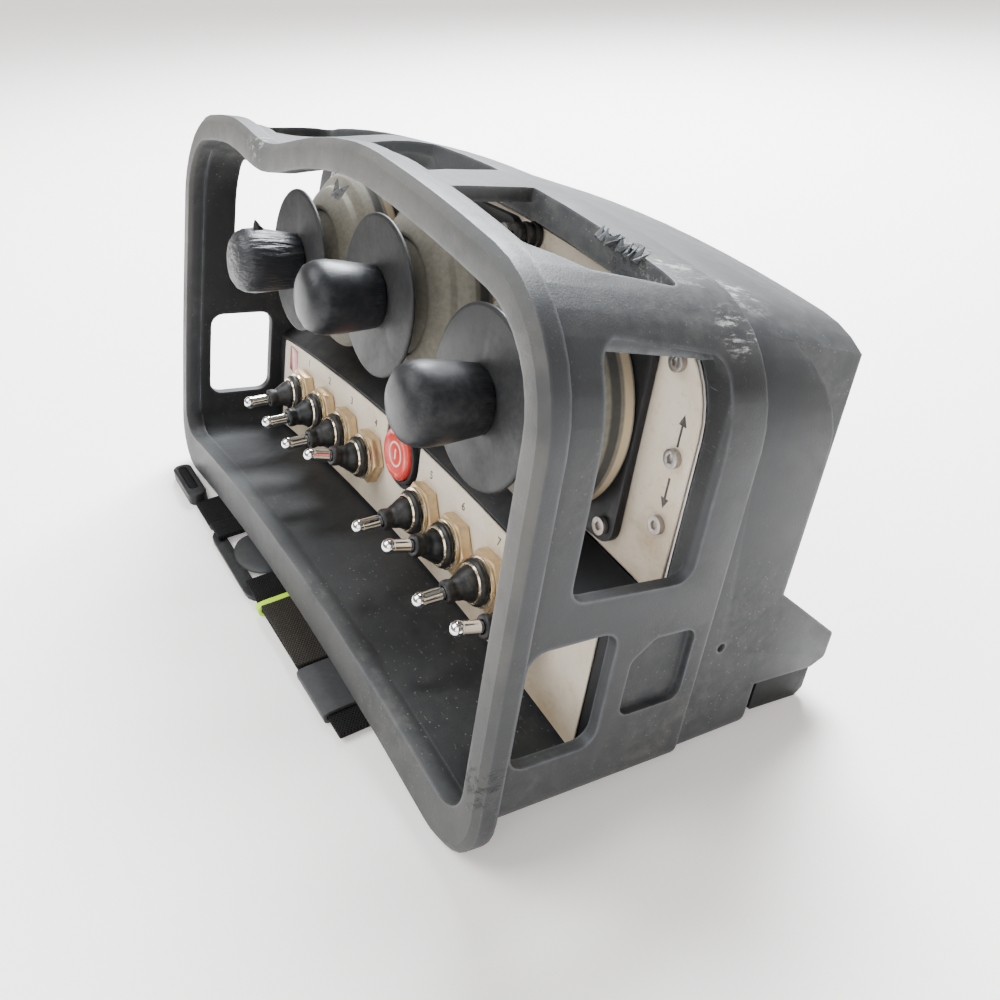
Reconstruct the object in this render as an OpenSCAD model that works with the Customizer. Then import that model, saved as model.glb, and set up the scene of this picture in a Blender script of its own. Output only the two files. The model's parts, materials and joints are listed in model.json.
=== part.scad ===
// Belly-box radio remote control transmitter with three paddle joysticks, eight toggle switches
// and a stop button behind a moulded guard frame, standing on its belly side.
// X runs along the control row, Y goes from the guard's front rim into the case, Z is up.
// Millimetres.

/* [Case] */
// Width over the two side walls
body_w = 300; // [285:1:315]
// Height of the case at the seam, in the middle of the crown
case_h = 163; // [158:1:172]
// Depth of the guard frame, from its front rim to the seam
guard_d = 80; // [78:1:86]
// Depth of the cheeks behind the seam
cheek_d = 31; // [28:1:32]
// Depth of the rear block behind the seam
block_d = 51; // [48:1:56]
// Depth of the feet behind the seam
foot_d = 65; // [60:1:70]
// Radius of the two upper corners
corner_r = 40; // [36:1:46]
// Radius of the two lower corners
lower_r = 8; // [7:0.5:10]
// Radius of the crowned top
crown_r = 716; // [650:1:900]
// Radius of the hollow belly side
belly_r = 1125; // [1050:1:1300]
// How far the middle of the belly side lies above its edges
belly_rise = 9; // [8:0.5:10]
// Wall of the guard frame
guard_t = 4.4; // [3.8:0.2:5]
// Wall under the toggles
belly_t = 2.8; // [2.4:0.2:3.4]
// Wall of the rear case
case_t = 4; // [3:0.2:5]
// How far the rear case lies inside the guard's outline
case_step = 1; // [0.4:0.2:2]
// Height at which the flare of the walls turns round
flare_z = 43.5; // [40:0.5:48]
// Growth of the section from the seam to the front rim
flare_front = 1.092; // [1.08:0.002:1.11]
// Shrink of the section from the seam to the rear block
flare_rear = 0.915; // [0.9:0.005:0.94]

/* [Rim] */
// Depth of the front rim
rim_d = 8; // [6:0.5:10]
// How far the rim stands out beyond the side walls
rim_side = 4.5; // [3:0.5:5.5]
// How far the rim's sill hangs below the belly side
rim_drop = 13.7; // [12:0.1:15]
// Height of the rim's face along the top
rim_face = 10; // [8:0.5:11]
// How far the rim's opening lies inside the side walls
rim_inset = 3.5; // [3:0.5:4.5]
// Radius of the rim's lower corners
rim_low_r = 22; // [18:1:26]
// Radius of the opening's lower corners
mouth_low_r = 12; // [10:1:15]
// Rounding of the rim's front edges
rim_round = 2; // [1:0.2:2.4]
// Width of the groove behind the rim
groove_w = 2; // [1:0.2:3]
// Depth of the groove behind the rim
groove_t = 1.2; // [0.6:0.2:1.6]

/* [Windows] */
// Front edge of the large side window behind the rim
side_win_front = 22; // [20:0.5:25]
// Width of the post between the large side window and the seam
side_win_post = 14; // [13:0.5:16]
// Sill of the large side window
side_win_sill = 75; // [72:1:78]
// Head of the large side window at its front edge
side_win_head = 147; // [140:1:148]
// Front edge of the small side window behind the rim
low_win_front = 12; // [11:0.5:14]
// Rear edge of the small side window behind the rim
low_win_rear = 43; // [40:0.5:45]
// Sill of the small side window
low_win_sill = 19; // [18:0.5:22]
// Head of the small side window
low_win_head = 62; // [58:0.5:63]
// Corner radius of the windows
win_r = 6; // [4:0.5:7]
// Depth of the blind pocket in the side wall
pocket_t = 3; // [2:0.2:3]
// Front edge of the top windows behind the rim
top_win_front = 14; // [13:0.5:17]
// Width of the bridge between the top windows and the seam
top_win_post = 20; // [20:0.5:22]
// Half width over the top windows at the front corners
top_win_half = 122; // [116:1:124]
// Middle of the slanted bars where they leave the rim
bar_front_x = 66; // [62:1:70]
// Middle of the slanted bars where they meet the case
bar_rear_x = 35; // [32:1:42]
// Width of the slanted bars at the rim
bar_front_w = 14; // [12:0.5:16]
// Width of the slanted bars at the case
bar_rear_w = 23; // [20:0.5:25]

/* [Panel] */
// How far the face of the toggle deck stands in front of the joystick plate
deck_up = 17.5; // [16.5:0.5:18.5]
// Depth of the joystick plate's face in front of the seam
plate_in = 15; // [14.5:0.5:16]
// Thickness of the joystick plate
plate_t = 3; // [2:0.5:4]
// Thickness of the toggle deck
deck_t = 3; // [2.5:0.5:3]
// Height of the top edge of the toggle deck, in its middle
deck_top = 58.6; // [58:0.2:60]
// Rise of the black step from the deck to the joystick plate
step_rise = 9.4; // [8:0.2:10]
// Thickness of the printed face plates
label_t = 0.8; // [0.5:0.1:1]
// Gap between the panel and the collar round it
panel_gap = 0.4; // [0.3:0.1:0.6]
// Width of the collar round the joystick plate, wall included
collar_w = 9.5; // [9:0.5:10]
// Width of the ledge behind the joystick plate, wall included
ledge_w = 14; // [13:0.5:15]

/* [Joysticks] */
// Gap between the flanges of two joysticks
stick_gap = 3.4; // [3:0.2:4.4]
// Height of the outer joysticks above the belly edge
stick_z = 105.6; // [105.2:0.2:107]
// How much higher the middle joystick sits
stick_lift = 8.4; // [7:0.2:9]
// How far the rubber bell stays inside the flange's edges
bell_in = 0.6; // [0.4:0.1:1.2]
// Side of the square flange
flange_w = 76; // [75:0.2:76.4]
// Thickness of the flange
flange_t = 3; // [2.4:0.2:3.2]
// Distance of the flange screws from the flange's edges
screw_in = 5.5; // [5:0.25:6]
// Radius of the disc behind the knob
disc_r = 29.8; // [28:0.2:30]
// Thickness of the disc
disc_t = 2; // [1.6:0.2:2.2]
// How far the disc stands in front of the joystick plate
disc_up = 35.7; // [35.6:0.1:37]
// Radius of the knob at its widest
knob_r = 13.4; // [12.6:0.2:14]
// Radius of the knob's foot
knob_foot_r = 11.4; // [10.4:0.2:12]
// Length of the knob
knob_l = 28.4; // [27:0.2:28.6]
// Radius of the joystick shaft
shaft_r = 4; // [3.6:0.2:4.4]
// Tilt of a joystick to each side
stick_tilt = 18; // [14:1:18]

/* [Toggles] */
// Distance from one toggle to the next
toggle_pitch = 25.8; // [25.4:0.1:26.2]
// Height of the toggles above the belly edge, in the middle
toggle_z = 35.9; // [35:0.1:36.4]
// How much lower the outermost toggles sit
toggle_sag = 1.9; // [1.4:0.1:3]
// Width across the flats of the toggle nut
nut_af = 20.5; // [19:0.5:21]
// Thickness of the toggle nut
nut_t = 4.4; // [3.6:0.2:4.8]
// Radius of the dress ring on the nut
dress_r = 9.7; // [9.2:0.1:10]
// Thickness of the dress ring
dress_t = 1.4; // [1:0.1:1.6]
// Radius of the black seal ring
seal_r = 8.8; // [8.2:0.1:9]
// Thickness of the black seal ring
seal_t = 2.6; // [2.2:0.1:2.8]
// Radius of the toggle bushing
bushing_r = 6; // [5.9:0.1:6.2]
// Radius of the toggle lever
lever_r = 2.3; // [2:0.1:2.4]
// Radius of the ball end of the lever
ball_r = 2.9; // [2.6:0.1:3]
// Length of a lever from its pivot to its tip
lever_l = 25.4; // [24:0.1:26]
// Tilt of a lever to either side
lever_tilt = 8; // [6:0.5:8]

/* [Stop button] */
// Radius of the button
stop_r = 11; // [10:0.2:11.4]
// Height of the button's axis above the belly edge
stop_z = 48.4; // [47:0.2:49]
// Travel of the button
stop_travel = 2.5; // [1.5:0.1:2.6]
// Face of the button in front of the deck
stop_up = 3.5; // [3:0.1:4]

/* [Battery] */
// Length of the battery along the case
battery_w = 296; // [288:1:298]
// Thickness of the battery
battery_t = 12; // [11:0.5:12.4]
// Depth of the battery
battery_d = 26; // [24:0.5:27]

/* [Belt] */
// Width of the webbing
web_w = 27; // [25:0.5:28]
// Thickness of the webbing
web_t = 2.2; // [1.8:0.1:2.4]
// How far the belt shows in front of the rim
belt_peek = 10; // [8:0.5:11]

/* [Hidden] */

// Facets of round parts
$fn = 48;
// Facets of the section's corners and of its long curves
corner_n = 8;
curve_n = 14;
// How far a cut runs past the face that it cuts
over = 1;
// Clearance between parts that lie against each other
seat = 0.3;
// Thickness of the glue film under a printed plate
film = 0.1;
// Running clearance of a shaft in its bearing
run_gap = 0.06;
half_w = body_w / 2;
all_d = guard_d + foot_d;
side_win_rear = guard_d - side_win_post;
top_win_rear = guard_d - top_win_post;
plate_y = guard_d - plate_in;
deck_y = plate_y - deck_up;
stick_pitch = flange_w + stick_gap;
bell_r = flange_w / 2 - bell_in;
flange_screw = flange_w / 2 - screw_in;
disc_y = plate_y - disc_up;

// Lowest edge of the rim, and the floor that the case leans back on: its slope and its height at the rim
rim_low = (flare_front - 1) * flare_z + rim_drop;
sole_up = 1.2;
rim_sole = rim_low - sole_up;
bay_in = 2.4;
bay_y = guard_d + cheek_d + bay_in;
battery_y = bay_y + panel_gap;
battery_z = 10.8;
floor_tilt = atan((battery_z + rim_sole) / (battery_y + battery_d - rim_d));
floor_z = -rim_sole - rim_d * tan(floor_tilt);
belt_low = -floor_z + belt_peek * sin(floor_tilt);
// The model's origin is the middle of its box at the height of its lowest point
shift_y = -(all_d - belt_peek * cos(floor_tilt)) / 2;
shift_z = belt_low;
module on_stand() translate([0, shift_y, shift_z]) children();

// Centres of the section's long arcs
crown_c = [0, case_h - crown_r];
belly_c = [0, belly_rise - belly_r];

function arc(c, r, a0, a1, n) =
    [for (i = [0 : n]) c + r * [cos(a0 + (a1 - a0) * i / n), sin(a0 + (a1 - a0) * i / n)]];
// A section of half width w: belly side raised by low, lower corners lr, crown at top, upper corners tr
function outline(w, low, lr, top, tr) =
    let (rc = top - crown_c[1], rb = belly_rise + low - belly_c[1],
        tc = [w - tr, crown_c[1] + sqrt(pow(rc - tr, 2) - pow(w - tr, 2))],
        bc = [w - lr, belly_c[1] + sqrt(pow(rb + lr, 2) - pow(w - lr, 2))],
        ta = atan2(tc[1] - crown_c[1], tc[0]), ba = atan2(bc[1] - belly_c[1], bc[0]))
    concat(arc(belly_c, rb, 180 - ba, ba, curve_n), arc(bc, lr, ba - 180, 0, corner_n),
        arc(tc, tr, 0, ta, corner_n), arc(crown_c, rc, ta, 180 - ta, curve_n),
        arc([-tc[0], tc[1]], tr, 180 - ta, 180, corner_n), arc([-bc[0], bc[1]], lr, 180, 360 - ba, corner_n));
// The case's section a distance t inside its outline, with its own belly wall b
function case_pts(t, b) = outline(half_w - t, b, lower_r, case_h - t, corner_r - t);

// A polygon with its corners rounded by arcs of radius r
function unit(v) = v / norm(v);
function turn(u, v) = u[0] * v[1] - u[1] * v[0];
function fillet(a, b, c, r, n) =
    let (u = unit(a - b), v = unit(c - b), h = acos(u * v) / 2, m = b + unit(u + v) * r / sin(h),
        s = b + u * r / tan(h) - m, g = atan2(s[1], s[0]), w = (turn(u, v) > 0 ? -1 : 1) * (180 - 2 * h))
    [for (i = [0 : n]) m + r * [cos(g + w * i / n), sin(g + w * i / n)]];
function rounded(p, r, n = 5) =
    [for (i = [0 : len(p) - 1]) each fillet(p[(i + len(p) - 1) % len(p)], p[i], p[(i + 1) % len(p)], r, n)];

// Scale of the section at a depth behind the rim, and the height of a section point there
function flare(y) = y < guard_d ? flare_front + (1 - flare_front) * y / guard_d
    : 1 + (flare_rear - 1) * (y - guard_d) / block_d;
function at_flare(z, y) = flare_z + (z - flare_z) * flare(y);

// A drawing in X and Z made into a block that runs back from y by d
module back(y, d) translate([0, y + d, 0]) rotate([90, 0, 0]) linear_extrude(d) children();
// A drawing in Y and Z made into a block that runs across from x by d
module across(x, d) translate([x, 0, 0]) rotate([90, 0, 90]) linear_extrude(d) children();
// A section between two depths, tapered with the flare
module tapered(y0, y1, pts) translate([0, y1, flare_z]) rotate([90, 0, 0])
    linear_extrude(y1 - y0, scale = [1, flare(y0) / flare(y1)], slices = 1)
        scale([1, flare(y1)]) translate([0, -flare_z]) polygon(pts);
module both_sides() {
    children();
    mirror([1, 0, 0]) children();
}
// Round bodies whose axis points out of the panel, from y forwards
module peg(y, h, r) translate([0, y, 0]) rotate([90, 0, 0]) cylinder(h, r, r);
module turned(y, p) translate([0, y, 0]) rotate([90, 0, 0]) rotate_extrude() polygon(p);
module at(p) translate([p[0], 0, p[1]]) children();

// Guard frame
rim_top = at_flare(case_h, 0);
rim_mid = (rim_top - rim_low) / 2;
rim_pts = outline(half_w + rim_side, -rim_low, rim_low_r, rim_top, corner_r + rim_round);
mouth_pts = outline(half_w - rim_inset, film * rim_side, mouth_low_r, rim_top - rim_face, corner_r - rim_face);
side_drop = 7;
side_cut = 8;
slope = 1;
pocket_in = 6;
pocket_w = 24;
pocket_y = [guard_d - pocket_in - pocket_w, guard_d - pocket_in];
pocket_low = 28.4;
pocket_cut = 49;
pocket_top = 56;
pocket_z = [pocket_low, pocket_cut, pocket_top];
pocket_r = 4;
collar_y = top_win_rear;
collar_top = side_win_head - side_drop - 2 * over;
ledge_gap = 1.5;
ledge_y = plate_y + label_t + film + plate_t + ledge_gap;

// A slice of the rim whose outline shrinks by e towards the front and whose mouth grows by it
module rim_slice(y0, y1, e) translate([0, y1, rim_mid]) rotate([90, 0, 0]) difference() {
    linear_extrude(y1 - y0, scale = [1 - e / half_w, 1 - e / rim_mid], slices = 1)
        translate([0, -rim_mid]) polygon(rim_pts);
    translate([0, 0, -over]) linear_extrude(y1 - y0 + 2 * over) translate([0, -rim_mid]) polygon(mouth_pts);
}
module rim() {
    rim_slice(rim_round, rim_d, 0);
    rim_slice(0, rim_round, rim_round);
}
module side_windows() {
    across(half_w - guard_t - side_cut, guard_t + rim_side + 2 * side_cut)
        polygon(rounded([[side_win_front, side_win_sill], [side_win_rear, side_win_sill - slope],
            [side_win_rear, side_win_head - side_drop], [side_win_front, side_win_head]], win_r));
    across(half_w - guard_t - side_cut, guard_t + rim_side + 2 * side_cut)
        polygon(rounded([[low_win_front, low_win_sill], [low_win_rear, low_win_sill + slope],
            [low_win_rear, low_win_head], [low_win_front, low_win_head - slope]], win_r));
    across(half_w - pocket_t, pocket_t + over)
        polygon(rounded([[pocket_y[0], pocket_z[0]], [pocket_y[1], pocket_z[0] + slope],
            [pocket_y[1], pocket_z[2]], [pocket_y[0] + side_cut, pocket_z[2]],
            [pocket_y[0], pocket_z[1]]], pocket_r));
}
// Outline of the top windows seen from above, and the slanted bars that stand in it
corner_in = 10;
corner_back = 16;
top_corner = [corner_in, corner_back];
top_open = [[-top_win_half, top_win_front + top_corner[1]],
    [-top_win_half + top_corner[0], top_win_front + slope], [top_win_half - top_corner[0], top_win_front + slope],
    [top_win_half, top_win_front + top_corner[1]],
    [top_win_half + 2 * slope, top_win_rear], [-top_win_half - 2 * slope, top_win_rear]];
module window_bar() polygon([[bar_front_x - bar_front_w / 2, top_win_front - over],
    [bar_front_x + bar_front_w / 2, top_win_front - over],
    [bar_rear_x + bar_rear_w / 2, top_win_rear + over], [bar_rear_x - bar_rear_w / 2, top_win_rear + over]]);
top_from = 126;
module top_windows() translate([0, 0, top_from]) linear_extrude(rim_top) difference() {
    polygon(rounded(top_open, win_r / 2));
    window_bar();
    mirror([1, 0]) window_bar();
}
module guard_frame() color("slategray") on_stand() difference() {
    union() {
        difference() {
            tapered(rim_d - over, guard_d, case_pts(0, 0));
            tapered(0, guard_d + over, case_pts(guard_t, belly_t));
            // Groove behind the rim
            difference() {
                tapered(rim_d, rim_d + groove_w, outline(body_w, -body_w, lower_r, case_h + corner_r, corner_r));
                tapered(0, guard_d, case_pts(groove_t, groove_t));
            }
        }
        rim();
        difference() {
            tapered(collar_y, guard_d, case_pts(guard_t - seat, belly_t - seat));
            tapered(collar_y - over, guard_d + over, case_pts(collar_w, belly_t));
            translate([-half_w, collar_y - over, -half_w])
                cube([body_w, side_win_rear - collar_y + over, half_w + collar_top]);
        }
        difference() {
            tapered(ledge_y, guard_d, case_pts(guard_t, belly_t));
            tapered(ledge_y - over, guard_d + over, case_pts(ledge_w, collar_w));
        }
    }
    both_sides() side_windows();
    top_windows();
}

// Rear case: cheeks, an inset block flush with the top, and two feet over the battery
block_step = 15;
block_half = half_w - block_step;
block_y = guard_d + block_d;
cheek_y = guard_d + cheek_d;
foot_y = guard_d + foot_d;
bay_top = battery_z + battery_t + 2 * panel_gap;
bay_wall = 6;
foot_w = 26;
foot_lip = 3;
foot_up = 37;
foot_top = 60;
foot_z = [bay_top, bay_top + foot_lip, foot_up, foot_top];
foot_r = 2;
foot_toe = 6;
pin_in = 9;
pin_y = guard_d + pin_in;
pin_z = 44;
pin_r = 1.6;
pin_l = 7;
pin_boss = 5;
cheek_r = 38;
cheek_drop = 4;
cheek_top = at_flare(case_h, cheek_y) - corner_r - cheek_drop;
foot_root = 11;
block_in = cheek_y - foot_root;
// T rails of the battery: stem and head half widths, rise of the head, and height over all
rail_x = 60;
rail_stem = 2;
rail_head = 4;
rail_neck = 1.6;
rail_h = 3.6;

module rail(e, y0, y1) for (x = [-rail_x, rail_x]) translate([x, y0, 0]) {
    translate([-rail_stem - e, 0, battery_z + battery_t - over])
        cube([2 * (rail_stem + e), y1 - y0, rail_neck + over + 2 * e]);
    translate([-rail_head - e, 0, battery_z + battery_t + rail_neck - e])
        cube([2 * (rail_head + e), y1 - y0, rail_h - rail_neck + 2 * e]);
}
module cheek_profile() difference() {
    translate([guard_d, -half_w]) square([cheek_d, body_w + half_w]);
    translate([cheek_y - cheek_r, cheek_top]) difference() {
        square([cheek_r + over, body_w]);
        circle(cheek_r, $fn = 96);
    }
}
module rear_case() color("dimgray") on_stand() difference() {
    union() {
        intersection() {
            tapered(guard_d + seat, block_y, case_pts(case_step, case_step));
            union() {
                across(-half_w, body_w) cheek_profile();
                translate([-block_half, guard_d, -over]) cube([2 * block_half, block_d, body_w]);
            }
        }
        both_sides() across(half_w - foot_w, foot_w - case_step)
            polygon(rounded([[block_in + over, foot_z[0]], [foot_y - foot_toe, foot_z[0]], [foot_y, foot_z[1]],
                [foot_y, foot_z[2]], [cheek_y, foot_z[3]], [block_in + over, foot_z[3]]], foot_r));
    }
    difference() {
        tapered(guard_d - over, block_y - case_t, case_pts(case_t + case_step, case_t + case_step));
        translate([-half_w, bay_y - case_t, -over]) cube([body_w, block_d, bay_top + bay_wall + over]);
        both_sides() translate([block_half - case_t, block_in, -over]) cube([half_w, block_d, body_w]);
        both_sides() translate([half_w - pin_l - case_step, pin_y, pin_z]) rotate([0, 90, 0])
            cylinder(pin_l, pin_boss, pin_boss);
    }
    // The battery bay, open below and to the rear, with the grooves for the rails
    translate([-half_w, bay_y, -over]) cube([body_w, block_d, bay_top + over]);
    rail(seat, bay_y, block_y + over);
    both_sides() translate([half_w - pin_l, pin_y, pin_z]) rotate([0, 90, 0])
        cylinder(pin_l + over, pin_r, pin_r);
}

// Panel
function ring_r(z) = z - belly_c[1];
module disc_at(z) translate(belly_c) circle(ring_r(z), $fn = 360);
plate_low = deck_top + step_rise + seat;
plate_pts = case_pts(collar_w + panel_gap, collar_w);
face_pts = case_pts(collar_w + panel_gap + over, collar_w);
plate_front = plate_y + label_t + film;
deck_front = deck_y + label_t + film;
bell_t = 1.8;
stick_hole = bell_r - bell_t;
stop_wall = 2.4;
stop_hole = stop_r + stop_wall;
bush_hole = bushing_r + seat;
grommet_drop = 14.6;
grommet_x = 45.5;
grommet_at = [grommet_x, case_h - grommet_drop];
grommet_r = 4.6;
toggle_ks = [-4, -3, -2, -1, 1, 2, 3, 4];
function stick_at(i) = [i * stick_pitch, stick_z + (i == 0 ? stick_lift : 0)];
function toggle_at(k) = [k * toggle_pitch, toggle_z - toggle_sag * pow(k / 4, 2)];
screw_hole = 2;
screw_side = 17.5;
screw_step = 7;
screw_low = 84;
screw_high = 106;
screw_drop = 30;
plate_screws = [[half_w - screw_side, screw_low], [half_w - screw_side, screw_high],
    [half_w - screw_side - screw_step, case_h - screw_drop]];

module plate_shape(pts, low) difference() {
    translate([0, flare_z]) scale([1, flare(ledge_y)]) translate([0, -flare_z]) polygon(pts);
    disc_at(low);
}
module joystick_plate() color("darkgray") on_stand() back(plate_front, plate_t) difference() {
    plate_shape(plate_pts, plate_low);
    for (i = [-1 : 1]) translate(stick_at(i)) circle(stick_hole);
    translate(grommet_at) circle(grommet_r / 2 + seat);
}
module joystick_face() color("wheat") on_stand() back(plate_y, label_t) difference() {
    plate_shape(face_pts, plate_low + over);
    for (i = [-1 : 1]) translate(stick_at(i)) circle(stick_hole);
    translate(grommet_at) circle(grommet_r / 2 + seat);
}
deck_low = at_flare(belly_rise + belly_t, deck_y) + 2 * panel_gap;
deck_back = deck_front + deck_t;
deck_end = side_win_rear - seat;
deck_pts = [[deck_low, deck_front], [deck_top, deck_front], [deck_top + step_rise, plate_y - seat],
    [deck_top + step_rise, deck_end], [deck_top + step_rise - deck_t, deck_end], [deck_top - over, deck_back],
    [deck_low, deck_back]];
module toggle_deck() color("black") on_stand() difference() {
    intersection() {
        translate([0, 0, belly_c[1]]) rotate([90, 0, 0]) rotate([0, 0, 80])
            rotate_extrude(angle = 20, $fn = 360) polygon([for (p = deck_pts) [ring_r(p[0]), -p[1]]]);
        tapered(deck_y - over, deck_end + over, case_pts(guard_t + panel_gap, belly_t + panel_gap));
    }
    at([0, stop_z]) peg(deck_end + over, deck_end - deck_y + 2 * over, stop_hole);
    for (k = toggle_ks) at(toggle_at(k)) peg(deck_end + over, deck_end - deck_y + 2 * over, bush_hole);
}
label_side = 14;
label_half = half_w - label_side;
label_r = 3;
notch = 15;
window_side = 12;
window_z = 43;
window_at = [window_side - label_half, window_z];
window_w = 10;
window_h = 12;
window_size = [window_w, window_h];
module toggle_face() color("wheat") on_stand() back(deck_y, label_t) difference() {
    intersection() {
        disc_at(deck_top - over);
        translate([-label_half, -over]) square([2 * label_half, case_h]);
    }
    disc_at(deck_low + over);
    translate([0, stop_z]) circle(notch);
    translate([-notch, stop_z]) square([2 * notch, case_h]);
    for (k = toggle_ks) translate(toggle_at(k)) circle(bush_hole);
    translate(window_at) square(window_size + [seat, seat] * 2, center = true);
}
module status_window() color("salmon") on_stand() back(deck_y, label_t) translate(window_at)
    square(window_size, center = true);
module panel_seal() color("black") on_stand() difference() {
    tapered(plate_front + plate_t + seat, ledge_y - seat, case_pts(collar_w + panel_gap, collar_w));
    tapered(plate_y, guard_d, case_pts(ledge_w, collar_w + 2 * over));
    translate([-half_w, plate_y, -half_w]) cube([body_w, guard_d, half_w + deck_top]);
}
head_r = 3;
head_h = 1.8;
key_af = 3;
// A cap screw standing on a face at y, with a stub of its thread behind it
module cap_screw(y, r, h, l) difference() {
    union() {
        peg(y, h, r);
        peg(y + l, l + film, screw_hole - seat);
    }
    translate([0, y - h / 2, 0]) rotate([90, 0, 0]) cylinder(h, key_af / 2, key_af / 2, $fn = 6);
}
module panel_screws() color("silver") on_stand() for (p = plate_screws) both_sides()
    at(p) difference() {
        cap_screw(plate_y - film, head_r, head_h, 0);
        peg(plate_y + guard_d, guard_d, head_r + over);
    }

// Joysticks
pivot_in = 3;
pivot_y = plate_y + pivot_in;
flange_y = plate_y - seat - flange_t;
flange_r = 6;
cap_gap = 2.8;
cap_r = bell_r - cap_gap;
cap_t = 1.2;
cap_edge = 56;
hub_gap = 0.8;
hub_turn = asin((shaft_r + hub_gap) / cap_r);
ring_in = 11;
ring_out = 17;
ring_h = 8;
trunnion_r = 2.5;
trunnion_l = 25;
ear_in = 18.5;
ear_out = 27;
base_half = 29;
base_d = 30;
bowl_r = 23;
bell_top = 28.6;
// The bell's profile from its foot out to its mouth and back inside: shares of its radius and of its height
bell_shares = [[1, 0.612], [0.957, 0.682], [0.85, 0.755], [0.829, 0.839], [0.77, 0.895], [0.626, 1], [0.588, 1],
    [0.588, 0.965], [0.738, 0.832], [0.775, 0.713], [0.92, 0.629], [0.952, 0.577]];
bell_foot = pivot_y - flange_y + seat;
bell_pts = concat([[bell_r, bell_foot]], [for (p = bell_shares) [p[0] * bell_r, p[1] * bell_top]],
    [[bell_r - bell_t, bell_foot]]);
module joystick_flanges() color("black") on_stand() for (i = [-1 : 1]) at(stick_at(i))
    back(flange_y, flange_t) difference() {
        polygon(rounded([for (s = [[-1, -1], [1, -1], [1, 1], [-1, 1]]) s * flange_w / 2], flange_r));
        circle(stick_hole);
        for (sx = [-1, 1]) for (sz = [-1, 1]) translate([sx, sz] * flange_screw) circle(screw_hole);
    }
module flange_screws() color("silver") on_stand() for (i = [-1 : 1]) at(stick_at(i))
    for (sx = [-1, 1]) for (sz = [-1, 1]) at([sx, sz] * flange_screw)
        cap_screw(flange_y - film, head_r, head_h, flange_t);
module boot_bells() color("gray") on_stand() for (i = [-1 : 1]) at(stick_at(i)) turned(pivot_y, bell_pts);
base_y = plate_front + plate_t + seat;
module gimbal_bases() color("dimgray") on_stand() for (i = [-1 : 1]) at(stick_at(i)) difference() {
    union() {
        translate([-base_half, base_y, -base_half]) cube([2 * base_half, base_d, 2 * base_half]);
        for (s = [-1, 1]) translate([s * (ear_in + ear_out) / 2, base_y, 0])
            translate([-(ear_out - ear_in) / 2, pivot_y - base_y - 2 * trunnion_r, -2 * trunnion_r])
                cube([ear_out - ear_in, base_y - pivot_y + 2 * trunnion_r + over, 4 * trunnion_r]);
    }
    difference() {
        peg(base_y + base_d - case_t, base_d, bowl_r);
        for (s = [-1, 1]) translate([s * (ear_in + ear_out) / 2, pivot_y, 0])
            cube([ear_out - ear_in, 4 * trunnion_r, 4 * trunnion_r], center = true);
    }
    translate([-ear_out - over, pivot_y, 0]) rotate([0, 90, 0])
        cylinder(2 * (ear_out + over), trunnion_r + run_gap, trunnion_r + run_gap);
}
module gimbal_ring(i) color("goldenrod") on_stand() at(stick_at(i)) difference() {
    union() {
        peg(pivot_y + ring_h / 2, ring_h, ring_out);
        translate([-trunnion_l, pivot_y, 0]) rotate([0, 90, 0]) cylinder(2 * trunnion_l, trunnion_r, trunnion_r);
    }
    peg(pivot_y + ring_h, 2 * ring_h, ring_in);
    translate([0, pivot_y, -ring_out - over])
        cylinder(2 * (ring_out + over), trunnion_r + run_gap, trunnion_r + run_gap);
}
shaft_tail = 12;
tip_in = 12;
module stick_shaft(i) color("silver") on_stand() at(stick_at(i)) {
    peg(pivot_y + shaft_tail, shaft_tail + pivot_y - disc_y + tip_in, shaft_r);
    translate([0, pivot_y, -ring_out + over]) cylinder(2 * (ring_out - over), trunnion_r, trunnion_r);
}
module stick_gaiter(i) color("gray") on_stand() at(stick_at(i)) turned(pivot_y, concat(
    arc([0, 0], cap_r, 90 - cap_edge, 90 - hub_turn, 2 * corner_n),
    [[shaft_r + run_gap, cap_r - cap_t / 4], [shaft_r + run_gap, cap_r - 3 * cap_t]],
    arc([0, 0], cap_r - cap_t, 90 - hub_turn, 90 - cap_edge, 2 * corner_n)));
module stick_disc(i) color("dimgray") on_stand() at(stick_at(i)) turned(disc_y + disc_t, [
    [shaft_r + run_gap, 0], [disc_r - disc_t / 2, 0], [disc_r, disc_t / 4], [disc_r, 3 * disc_t / 4],
    [disc_r - disc_t / 2, disc_t], [shaft_r + run_gap, disc_t]]);
// The knob's profile: shares of its radius and of its length
knob_shares = [[0.93, 0.3], [0.98, 0.5], [1, 0.66], [0.97, 0.8], [0.87, 0.9], [0.68, 0.965], [0.4, 0.993]];
module stick_knob(i) color("black") on_stand() at(stick_at(i)) turned(disc_y - seat, concat(
    [[shaft_r + run_gap, 0], [knob_foot_r - over / 2, 0], [knob_foot_r, over / 2]],
    [for (p = knob_shares) [p[0] * knob_r, p[1] * knob_l]],
    [[0, knob_l], [0, tip_in + seat], [shaft_r + run_gap, tip_in + seat]]));

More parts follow.
